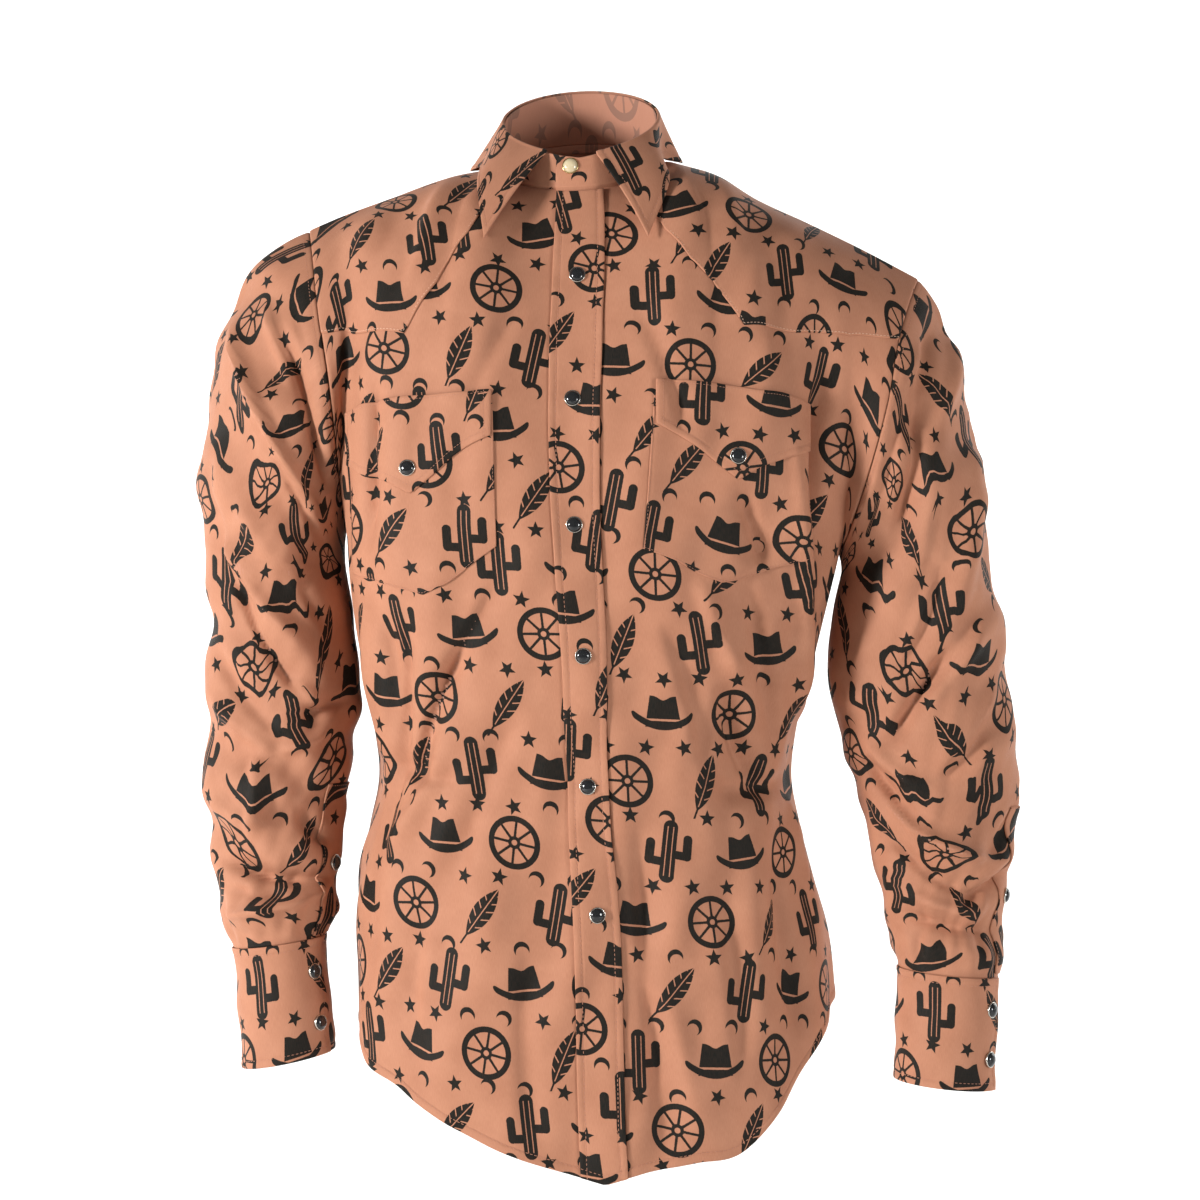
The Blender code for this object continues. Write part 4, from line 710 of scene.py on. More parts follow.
def fine_sleeve_folds(side: Side) -> dict[str, Table]:
    """Smaller folds of a sleeve, which only the shell shows."""
    rows = {(Side.RIGHT, "front"): [
        (-270, -104, -243, -172, -186, -274, 4.5, 2.2, 0.0),
        (-263, -125, -229, -205, -191, -289, 7, -2.6, 0.5),
        (-222, -88, -208, -128, -200, -170, 6, -2.4, 0.5),
        (-246, -86, -232, -124, -222, -160, 6, 2.0, 0.5),
        (-284, -200, -280, -262, -268, -318, 9, -2.2, -0.5),
        (-262, -238, -240, -282, -212, -310, 8, 2.0, 0.6),
        (-280, -258, -252, -312, -214, -352, 7, 2.4, 0.6),
        (-286, -348, -262, -390, -224, -424, 8, -2.6, 0.6),
        (-284, -392, -258, -420, -226, -440, 7, 2.2, 0.5),
        (-232, -436, -210, -430, -186, -418, 6, 2.0, 0.5),
        (-286, -470, -262, -486, -230, -490, 8, 1.8, 0.5),
        (-216, -476, -204, -496, -188, -508, 7, -2.2, 0.5),
        (-270, -538, -240, -545, -206, -546, 5, -1.8, 0.4),
        (-214, -300, -200, -330, -186, -350, 7, -2.0, 0.5)], (Side.RIGHT, "back"): [
        (-280, -160, -262, -230, -232, -290, 9, 2.2, 0.5),
        (-286, -262, -258, -312, -214, -346, 8, -2.4, 0.6),
        (-286, -370, -256, -392, -214, -404, 7, 2.4, 0.6),
        (-284, -452, -250, -462, -206, -466, 8, -2.2, 0.5),
        (-280, -556, -244, -560, -204, -556, 7, 2.2, 0.5)], (Side.LEFT, "front"): [
        (270, -104, 262, -142, 252, -176, 6, -2.2, 0.5),
        (288, -112, 284, -150, 272, -190, 7, 2.0, 0.5),
        (240, -180, 232, -226, 216, -262, 7, -2.2, -0.5),
        (318, -190, 318, -250, 308, -300, 9, -2.2, -0.5),
        (276, -290, 262, -340, 236, -380, 8, -2.4, 0.6),
        (310, -330, 286, -372, 258, -398, 7, 2.2, 0.6),
        (330, -380, 300, -430, 262, -462, 8, -2.2, 0.6),
        (214, -420, 236, -448, 262, -462, 6, 2.0, 0.6),
        (232, -492, 262, -526, 300, -540, 6, -2.4, 0.6),
        (336, -470, 322, -500, 296, -518, 7, -2.0, 0.5),
        (246, -540, 276, -552, 306, -556, 5, 1.8, 0.5),
        (222, -330, 214, -380, 212, -410, 7, 2.0, 0.5)], (Side.LEFT, "back"): [
        (318, -180, 300, -240, 268, -300, 9, 2.2, 0.5),
        (326, -290, 296, -332, 250, -358, 8, -2.4, 0.6),
        (328, -400, 292, -420, 240, -436, 7, 2.4, 0.6),
        (326, -500, 290, -510, 246, -516, 8, -2.2, 0.5),
        (324, -572, 290, -580, 252, -580, 7, 2.2, 0.5)]}
    return {name: table(FOLD_COLUMNS, rows[side, name]) for name in ("front", "back")}


@dataclass
class Arm:
    """A sleeved arm: u is 0 outside, 0.25 in front and 0.5 inside; w runs down."""

    side: Side
    torso: Torso
    depth: float = 2.9
    cap_z: float = -300.0
    clearance: float = 0.5
    seam_gap: float = 0.3
    gathers: int = 11
    gather_depth: float = 1.5
    swell: float = 3.0
    half_width: float = 190.0
    ripple_shift: float = 400.0

    def __post_init__(self) -> None:
        """Take the side's tables."""
        self.levels, self.seams = arm_levels(self.side), cuff_seams(self.side)
        self.folds, self.fine_folds = sleeve_folds(self.side), fine_sleeve_folds(self.side)
        self.ripple = Ripple(seed=23 if self.side is Side.RIGHT else 31, height=4.2)
        # The cap's start slope: its outward share at the shoulder, and its length in chords.
        self.cap_start = (0.83, 1.03) if self.side is Side.RIGHT else (0.62, 0.62)

    def ring(self, u: Array, z: Array) -> Array:
        """Ellipse at a level, tilted more and more toward the cuff seam's slope."""
        level = at_level(self.levels, z)
        middle_x = (level["outer_x"] + level["inner_x"]) / 2
        middle_y = (level["front_y"] + level["back_y"]) / 2
        x = middle_x + (level["outer_x"] - level["inner_x"]) / 2 * np.cos(2 * np.pi * u)
        y = middle_y - (level["back_y"] - level["front_y"]) / 2 * np.sin(2 * np.pi * u)
        outer_z, inner_z = self.seams["top"]
        slope = (inner_z - outer_z) / (level["inner_x"] - level["outer_x"])
        return np.stack([x, y, z + slope * ease(self.cap_z, outer_z, z) * (x - middle_x)], axis=-1)

    def cap(self, u: Array, f: Array) -> Array:
        """Sleeve cap: a cubic from the armhole seam (0) to the plain tube (1)."""
        out, turn = self.side.sign, np.mod(u, 1.0)
        front = self.torso.armhole(Face.FRONT, out + 0 * u, np.clip(1 - 2 * turn, 0, 1))
        back = self.torso.armhole(Face.BACK, out + 0 * u, np.clip(2 * turn - 1, 0, 1))
        start = np.where((turn < 0.5)[..., None], front, back)
        start = start + np.array([out * self.clearance, 0.0, 0.0])
        end = self.ring(u, self.cap_z + 0 * u)
        tail = end - self.ring(u, self.cap_z + 10.0 + 0 * u)
        reach = np.linalg.norm(end - start, axis=-1, keepdims=True)
        sweep, fullness = self.cap_start
        outward = 0.12 + sweep * np.cos(np.pi * turn) ** 2
        lead = np.stack([out * outward, -0.2 * np.sin(2 * np.pi * turn),
                         -np.sqrt(1 - outward ** 2)], axis=-1)
        return cubic(start, unit(lead) * reach * fullness, end, unit(tail) * reach, f[..., None])

    def tube(self, u: Array, w: Array) -> Array:
        """The sleeve without folds; w is 0 at the armhole, 1 below the cap and 2 at the cuff."""
        u, w = paired(u, w)
        end_z = sum(self.seams["top"]) / 2 + self.seam_gap * 2
        level = self.cap_z + (end_z - self.cap_z) * np.clip(w - 1, 0, 1.02)
        upper = self.cap(u, np.clip(w, 0.0, 1.0))
        return np.where((w < 1.0)[..., None], upper, self.ring(u, level))

    def gather(self, u: Array, w: Array, fine: bool) -> Array:
        """Gathers into the cuff: an even wave, and for the shell a less even one."""
        even = np.sin(2 * np.pi * self.gathers * u)
        if fine:
            even = (0.55 * even + 0.5 * np.sin(2 * np.pi * 7 * u + 1.1)
                    + 0.4 * np.sin(2 * np.pi * 17 * u + 2.0 * np.cos(2 * np.pi * u)))
        return self.gather_depth * even * ease(1.82, 1.97, w) * (1 - ease(1.97, 2.0, w))

    def worn(self, fine: bool = True) -> Shape:
        """The sleeve with its folds: the tube moved out along its normals."""
        def shape(u: Array, w: Array) -> Array:
            """Front folds where the cloth faces forward, back folds elsewhere."""
            u, w = paired(u, w)
            points = self.tube(u, w)
            normal = self.side.sign * normals_of(self.tube, u, np.clip(w, 0.01, 1.99))
            x, z = points[..., 0], points[..., 2]
            front, back = (crease(x, z, self.folds[name]) for name in ("front", "back"))
            if fine:
                front, back = (Creases(self.depth).at(x, z, self.folds[name], self.fine_folds[name])
                               for name in ("front", "back"))
                across = self.half_width * np.cos(2 * np.pi * u)
                front = front + self.ripple.at(z, across + 0 * z)
                back = back + self.ripple.at(z + self.ripple_shift, across + 0 * z)
            facing = ease(-0.45, 0.45, -normal[..., 1])
            keep = ease(0.02, 0.22, w) * (1 - ease(1.93, 1.995, w))
            inner = ease(0.2, 0.8, -np.cos(2 * np.pi * u)) * (1 - ease(1.2, 1.5, w))
            height = (front * facing + back * (1 - facing)) * keep * (1 - 0.8 * inner)
            swell = self.swell * ease(1.75, 1.93, w) * (1 - ease(1.93, 1.995, w))
            height = height + self.gather(u, w, fine) + swell
            return points + normal * height[..., None]
        return shape


@dataclass
class Wrist:
    """The cuff band: an arm section wound once round, with its ends lapped."""

    arm: Arm
    overlap: float = 0.085
    wind: float = 2.5

    def __post_init__(self) -> None:
        """Where the upper layer ends, and the way the band winds."""
        right = self.arm.side is Side.RIGHT
        self.edge, self.turning = (0.43, 1.0) if right else (0.065, -1.0)

    def ring(self, u: Array, f: Array) -> Array:
        """Slanted section between the cuff's upper (0) and lower (1) edge."""
        seams = self.arm.seams
        outer_z, inner_z = [a + (b - a) * f for a, b in zip(seams["top"], seams["bottom"])]
        middle = (outer_z + inner_z) / 2
        ring = self.arm.ring(u, middle + 0 * u)
        ends = [self.arm.ring(k + 0 * u, middle + 0 * u)[..., 0] for k in (0.0, 0.5)]
        share = (ring[..., 0] - ends[0]) / (ends[1] - ends[0])
        level = outer_z + (inner_z - outer_z) * share
        return np.stack([ring[..., 0], ring[..., 1], level], axis=-1)

    def point(self, turn: Array, f: Array, height: Array | float = 0.0) -> Array:
        """Place on the band; turn is 0 at the under end and 1 at the upper end."""
        turn, f = paired(turn, f)
        u = self.edge + self.turning * ((1 + self.overlap) * turn - 1 - self.overlap)
        ring = self.ring(u, f)
        axis = (ring + self.ring(u + 0.5, f)) / 2
        return ring + unit(ring - axis) * (self.wind * turn + height)[..., None]


@dataclass
class Neck:
    """The collar: its stand, wound round the neck, and its fold down over the shirt."""

    torso: Torso
    under_end: float = 0.24
    overlap: float = 0.53
    front_height: float = 22.0
    rise: float = 19.0
    lean: float = 0.10
    gap: float = 1.5
    wind: float = 2.5
    ends: tuple[float, float] = (0.20, 2 * np.pi - 0.42)
    edge_front: Table = field(default_factory=lambda: table("left_u left_t right_u right_t", [
        (0.178, 1.766, 0.238, 1.704), (0.272, 1.870, 0.315, 1.830), (0.360, 1.958, 0.404, 1.944)]))
    edge_back: Table = field(default_factory=lambda: table("left_u left_t right_u right_t", [
        (0.415, 1.985, 0.450, 1.975), (0.355, 1.968, 0.380, 1.955), (0.270, 1.965, 0.280, 1.960),
        (0.150, 1.975, 0.150, 1.975), (0.0, 1.980, 0.0, 1.980)]))
    lift: float = 5.2
    bulge: tuple[float, float] = (6.0, -1.0)
    fold_gap: float = 1.0
    cloth: float = 1.6

    def stand(self, angle: Array, f: Array, height: Array | float = 0.0) -> Array:
        """Place on the stand: the neck seam raised by f of the stand's height."""
        angle, f = paired(angle, f)
        wound = (self.under_end - angle) / (2 * np.pi)
        rise = self.front_height + self.rise * np.abs(np.sin(angle / 2))
        seam = self.torso.neckline(angle)
        away = unit(seam * np.array([1.0, 1.0, 0.0]))
        step = self.wind * wound + height - self.lean * rise * f
        point = seam + away * step[..., None]
        point[..., 2] += self.gap + rise * f
        return point

    def stand_end(self, share: Array) -> Array:
        """Share of the stand's height that its rounded front ends keep."""
        near = np.minimum(share, 1 - share) / 0.02
        return 0.72 + 0.28 * np.sqrt(np.clip(near * (2 - near), 0, 1) * (near < 1) + (near >= 1))

    def edge(self) -> Table:
        """Outer edge of the folded collar, from the left front tip to the right one."""
        front, back = self.edge_front, self.edge_back
        ahead, behind = (self.torso.worn(face, fine=False) for face in Face)
        left = lifted(ahead, front["left_u"], front["left_t"], self.lift)
        right = lifted(ahead, -front["right_u"], front["right_t"], self.lift)
        u = np.concatenate([back["left_u"], -back["right_u"][-2::-1]])
        t = np.concatenate([back["left_t"], back["right_t"][-2::-1]])
        rear = lifted(behind, u, t, self.lift, -1.0)
        return dict(zip("xyz", np.concatenate([left, rear, right[::-1]]).T))

    def fall(self, share: Array, f: Array) -> Array:
        """Place on the collar: a quadratic from the fold (0) over a bulge to its edge (1)."""
        share, f = paired(share, f)
        angle = self.ends[0] + (self.ends[1] - self.ends[0]) * share
        fold = self.stand(angle - 2 * np.pi, 1 + 0 * share, self.cloth + self.fold_gap)
        edge = along_table(self.edge(), share)
        away = unit(edge * np.array([1.0, 1.0, 0.0]) + np.array([0.0, 0.0, 30.0]))
        leaf, behind = self.bulge
        bulge = leaf + (behind - leaf) * ease(0.06, 0.2, np.minimum(share, 1 - share))
        middle = (fold + edge) / 2 + away * bulge[..., None]
        f = f[..., None]
        return fold * (1 - f) ** 2 + 2 * middle * f * (1 - f) + edge * f ** 2


def lifted(shape: Shape, u: Array, v: Array, height: Array | float, turn: float = 1.0) -> Array:
    """Points of a surface moved out along its normals by a height."""
    u, v = paired(u, v)
    return shape(u, v) + turn * normals_of(shape, u, v) * np.asarray(height, float)[..., None]


# --- meshes ------------------------------------------------------------------
def quads(index: Array) -> Array:
    """Quads of a grid of point numbers."""
    return np.stack([index[:-1, :-1], index[:-1, 1:], index[1:, 1:], index[1:, :-1]],
                    axis=-1).reshape(-1, 4)


def strip(edge: Array, far_edge: Array) -> Array:
    """Quads that join two rows of point numbers."""
    return np.stack([edge[:-1], edge[1:], far_edge[1:], far_edge[:-1]], axis=-1)


def add_object(name: str, data: bpy.types.ID) -> bpy.types.Object:
    """Put data into the scene as an object at the origin."""
    thing = bpy.data.objects.new(name, data)
    bpy.context.scene.collection.objects.link(thing)
    return thing


def make_object(name: str, points: Array, faces: Array, finishes: list[bpy.types.Material],
                uv: Array | None = None, kinds: Array | None = None) -> bpy.types.Object:
    """Make an object at the origin from points in millimetres.

    Args:
        name: the object's name.
        points: one row for each vertex.
        faces: vertex numbers, one row for each face.
        finishes: materials, in the order of the slots.
        uv: cloth coordinates in metres, one for each vertex.
        kinds: material slot of each face.

    Returns:
        The linked object.
    """
    mesh = bpy.data.meshes.new(name)
    mesh.from_pydata((points * MM).tolist(), [], faces.tolist())
    if uv is not None:
        layer = mesh.uv_layers.new(name="cloth")
        layer.data.foreach_set("uv", uv[faces].astype(np.float32).ravel())
    for finish in finishes:
        mesh.materials.append(finish)
    if kinds is not None:
        mesh.polygons.foreach_set("material_index", kinds.astype(np.int32))
    mesh.shade_smooth()
    return add_object(name, mesh)


def from_axis(grid: Array, x: float = 12.0) -> Array:
    """Rough outward directions about an upright axis."""
    return grid * np.array([1.0, 1.0, 0.0]) - np.array([x, 0.0, 0.0])


def outward_normals(grid: Array, outward: Array) -> Array:
    """Grid normals, turned to the side that the rough directions point to."""
    normals = grid_normals(grid)
    return -normals if np.sum(normals * outward) < 0 else normals


def edge_distances(grid: Array) -> tuple[Array, Array, Array, Array]:
    """Distance of each grid point to the first and last column and first and last row."""
    across, along = lengths(grid, 1), lengths(grid, 0)
    return across, across[:, -1:] - across, along, along[-1:] - along


def inset(grid: Array, distance: float, edge: int) -> Array:
    """Line across a grid at a distance from one of its edges.

    Args:
        grid: point grid.
        distance: distance from the edge in millimetres.
        edge: 0 first column, 1 last column, 2 first row, 3 last row.

    Returns:
        One point for each row or column, read linearly between grid points.
    """
    if edge > 1:
        grid = grid.transpose(1, 0, 2)
    if edge % 2:
        grid = grid[:, ::-1]
    run = lengths(grid, 1)
    cell = np.clip((run < distance).sum(axis=1) - 1, 0, grid.shape[1] - 2)
    row = np.arange(grid.shape[0])
    near, far = run[row, cell], run[row, cell + 1]
    share = np.clip((distance - near) / np.maximum(far - near, 1e-9), 0, 1)[:, None]
    return grid[row, cell] * (1 - share) + grid[row, cell + 1] * share


def groove(distance: Array, at: float, depth: float = 0.35, width: float = 0.9) -> Array:
    """Relief of a stitch line: a groove on it, and a soft puff out to the edge."""
    puff = 0.22 * np.sin(np.pi * np.clip(distance / at, 0, 1))
    return puff - depth * bell(distance - at, width)


def turned_faces(rings: int, sides: int) -> Array:
    """Triangles over closed rings of points, and a fan to a point at each end."""
    ring = np.arange(rings * sides).reshape(rings, sides)
    ring = np.concatenate([ring, ring[:, :1]], axis=1)
    body, low = quads(ring)[:, ::-1], np.full(sides, rings * sides)
    return np.concatenate([body[:, [0, 1, 2]], body[:, [0, 2, 3]],
                           np.stack([low, ring[0, :-1], ring[0, 1:]], axis=-1),
                           np.stack([low + 1, ring[-1, 1:], ring[-1, :-1]], axis=-1)])


@dataclass(frozen=True)
class Row:
    """A row of stitches: its distance from an edge, the edge, and its reach along it."""

    distance: float
    edge: int
    start: float = 0.0
    end: float = 1.0


@dataclass
class Stitching:
    """Rows of sewn stitches, gathered into one piece: small capsules on lines."""

    name: str
    pitch: float = 3.3
    length: float = 2.5
    radius: float = 0.3
    sides: int = 5
    points: list[Array] = field(default_factory=list)
    faces: list[Array] = field(default_factory=list)
    count: int = 0

    def sew(self, line: Array, outward: Array) -> None:
        """Add one row of stitches.

        Each stitch is three rings about its own direction, closed by a point at
        each end, sunk by half its radius.

        Args:
            line: places of the row on the cloth.
            outward: unit normals of the cloth at those places.
        """
        run = run_along(line)
        number = max(int(run[-1] // self.pitch), 1)
        middle = (np.arange(number) + 0.5) * run[-1] / number

        def read(values: Array, at: Array) -> Array:
            """Values along the row at given lengths."""
            return np.stack([np.interp(at, run, values[:, k]) for k in range(3)], axis=-1)

        half = self.length / 2
        ahead = unit(read(line, middle + half) - read(line, middle - half))
        normal = unit(read(outward, middle))
        side = unit(np.cross(normal, ahead))
        normal = np.cross(ahead, side)
        angle = np.linspace(0, 2 * np.pi, self.sides, endpoint=False)
        around = (side[:, None] * np.cos(angle)[:, None] + normal[:, None] * np.sin(angle)[:, None])
        centre = read(line, middle) + normal * self.radius * 0.5
        rings = [centre[:, None] + ahead[:, None] * shift * half + around * self.radius * girth
                 - normal[:, None] * self.radius * 0.5 * abs(shift)
                 for shift, girth in ((-0.7, 0.8), (0.0, 1.0), (0.7, 0.8))]
        ends = [centre + ahead * half * shift - normal * self.radius for shift in (-1.0, 1.0)]
        every = np.concatenate([*rings, np.stack(ends, axis=1)], axis=1)
        start = self.count + np.arange(number)[:, None, None] * every.shape[1]
        self.faces.append((turned_faces(3, self.sides) + start).reshape(-1, 3))
        self.points.append(every.reshape(-1, 3))
        self.count += every.shape[0] * every.shape[1]

    def follow(self, grid: Array, normals: Array, row: Row) -> None:
        """Sew one row along an edge of a grid."""
        line = inset(grid, row.distance, row.edge)
        paired = inset(grid + normals * 10.0, row.distance, row.edge) - line
        low, high = (int(share * (len(line) - 1)) for share in (row.start, row.end))
        self.sew(line[low:high + 1], unit(paired[low:high + 1]))

    def build(self, finish: bpy.types.Material) -> bpy.types.Object:
        """Join the rows into one object."""
        return make_object(self.name, np.concatenate(self.points), np.concatenate(self.faces),
                           [finish])


@dataclass
class Skin:
    """One cloth piece: a closed thin wall whose outer face is a point grid."""

    name: str
    grid: Array
    outward: Array
    uv: Array
    thickness: float
    relief: Array

    def sewn(self, rows: list[Row], normals: Array | None = None, label: str = "",
             **thread: float) -> Stitching:
        """Stitches along the edges of the outer face.

        Args:
            rows: the rows of stitches.
            normals: the face's normals, where they aren't the grid's own.
            label: words before the piece's name in the stitches' name.
            thread: pitch, length and radius of the stitches.

        Returns:
            The sewn rows.
        """
        if normals is None:
            normals = outward_normals(self.grid, self.outward)
        stitches = Stitching("stitches_" + label + self.name, **thread)
        for row in rows:
            stitches.follow(self.grid + normals * self.relief[..., None], normals, row)
        return stitches

    def build(self, finishes: list[bpy.types.Material]) -> bpy.types.Object:
        """Outer face, inner face and rim; both faces round off toward every edge.

        Args:
            finishes: material of the outer face, and material of the inner face.

        Returns:
            The piece, with its cloth coordinates as UV.
        """
        normals = outward_normals(self.grid, self.outward)
        half = self.thickness / 2
        near = nearest(*edge_distances(self.grid))
        share = 1 - np.clip(near / half, 0, 1)
        roll = (half * 0.88 * (1 - np.sqrt(1 - share ** 2)))[..., None]
        relief = self.relief[..., None]
        outer = self.grid + normals * (relief - roll)
        inner = self.grid + normals * (relief - self.thickness + roll)
        index = np.arange(near.size).reshape(near.shape)
        far = index + near.size
        face, back = quads(index), quads(far)[:, ::-1]
        rim = np.concatenate([
            strip(index[0], far[0])[:, ::-1], strip(index[-1], far[-1]),
            strip(index[:, 0], far[:, 0]), strip(index[:, -1], far[:, -1])[:, ::-1]])
        faces = np.concatenate([face, rim, back])
        if np.sum(grid_normals(self.grid) * normals) < 0:
            faces = faces[:, ::-1]
        kinds = np.concatenate([np.zeros(len(face) + len(rim)), np.ones(len(back))])
        points = np.concatenate([outer.reshape(-1, 3), inner.reshape(-1, 3)])
        flat = self.uv.reshape(-1, 2)
        return make_object("shirt_" + self.name, points, faces, finishes,
                           np.concatenate([flat, flat]), kinds)


# --- finishes ----------------------------------------------------------------
Colour = tuple[float, float, float]
Value = Union["Term", float]


@dataclass(frozen=True)
class Term:
    """A value in a material's graph: arithmetic on it adds Math nodes."""

    graph: "Graph"
    socket: bpy.types.NodeSocket

    def math(self, operation: str, *others: Value, clamp: bool = False) -> "Term":
        """Math node whose first input is this value."""
        return self.graph.node("ShaderNodeMath", dict(enumerate((self, *others))),
                               operation=operation, use_clamp=clamp)

    def __add__(self, other: Value) -> "Term":
        """Sum."""
        return self.math("ADD", other)

    def __sub__(self, other: Value) -> "Term":
        """Difference."""
        return self.math("SUBTRACT", other)

    def __rsub__(self, other: float) -> "Term":
        """Difference from a plain number."""
        return self.graph.node("ShaderNodeMath", {0: other, 1: self}, operation="SUBTRACT")

    def __mul__(self, other: Value) -> "Term":
        """Product."""
        return self.math("MULTIPLY", other)

    def __mod__(self, other: Value) -> "Term":
        """Rest of a division, never negative."""
        return self.math("FLOORED_MODULO", other)

    def __abs__(self) -> "Term":
        """Size without its sign."""
        return self.math("ABSOLUTE")

    def sibling(self, name: str) -> "Term":
        """Another output of the same node."""
        return Term(self.graph, self.socket.node.outputs[name])

    def parts(self) -> "tuple[Term, ...]":
        """The x, y and z of a vector."""
        split = self.graph.node("ShaderNodeSeparateXYZ", {0: self})
        return tuple(split.sibling(name) for name in "XYZ")


def least(first: Term, *others: Term) -> Term:
    """Smallest of several values: the union of shapes given by distances."""
    return reduce(lambda a, b: a.math("MINIMUM", b), others, first)


def most(first: Term, *others: Term) -> Term:
    """Largest of several values: the overlap of shapes given by distances."""
    return reduce(lambda a, b: a.math("MAXIMUM", b), others, first)


def span(x: Term, y: Term) -> Term:
    """Length of the vector x, y."""
    return (x * x + y * y).math("SQRT")


def rod(x: Term, y: Term, half: float, radius: float) -> Term:
    """Distance to an upright rod with round ends, centred on x = y = 0."""
    return span(x, (abs(y) - half).math("MAXIMUM", 0.0)) - radius


class Graph:
    """Short way to lay out a material's nodes."""

    def __init__(self, name: str) -> None:
        """Start a material with its Principled shader."""
        self.material = bpy.data.materials.new(name)
        self.material.use_nodes = True
        self.tree = self.material.node_tree

    def fill(self, node: bpy.types.Node, inputs: dict[int | str, object]) -> None:
        """Link terms to a node's sockets, and set plain values on them."""
        for key, value in inputs.items():
            if isinstance(value, Term):
                self.tree.links.new(value.socket, node.inputs[key])
            else:
                node.inputs[key].default_value = value

    def node(self, kind: str, inputs: dict[int | str, object] | None = None,
             output: int | str = 0, **settings: object) -> Term:
        """Add a node with its settings and inputs, and return one of its outputs."""
        node = self.tree.nodes.new(kind)
        for name, value in settings.items():
            setattr(node, name, value)
        self.fill(node, inputs or {})
        return Term(self, node.outputs[output])

    def vector(self, x: Term, y: Term) -> Term:
        """Vector of x, y and 0."""
        return self.node("ShaderNodeCombineXYZ", {0: x, 1: y})

    def turned(self, x: Term, y: Term, angle: Value) -> tuple[Term, Term]:
        """The x and y of a place turned about 0 by an angle."""
        return self.node("ShaderNodeVectorRotate", {"Vector": self.vector(x, y), "Angle": angle},
                         rotation_type="Z_AXIS").parts()[:2]

    def noise(self, vector: Term, scale: float, detail: float = 2.0) -> Term:
        """Noise between 0 and 1."""
        return self.node("ShaderNodeTexNoise", {"Vector": vector, "Scale": scale, "Detail": detail})

    def mix(self, share: Term, a: Colour | Term, b: Colour | Term) -> Term:
        """Colour between a (0) and b (1)."""
        a, b = (end if isinstance(end, Term) else (*end, 1.0) for end in (a, b))
        return self.node("ShaderNodeMix", {0: share, 6: a, 7: b}, 2, data_type="RGBA")

    def bump(self, height: Term, strength: float, distance: float) -> Term:
        """Normal of a surface with a relief."""
        return self.node("ShaderNodeBump", {"Height": height, "Strength": strength,
                                            "Distance": distance})

    def finish(self, inputs: dict[str, object]) -> bpy.types.Material:
        """Fill the shader's sockets and return the material."""
        self.fill(self.tree.nodes["Principled BSDF"], inputs)
        return self.material


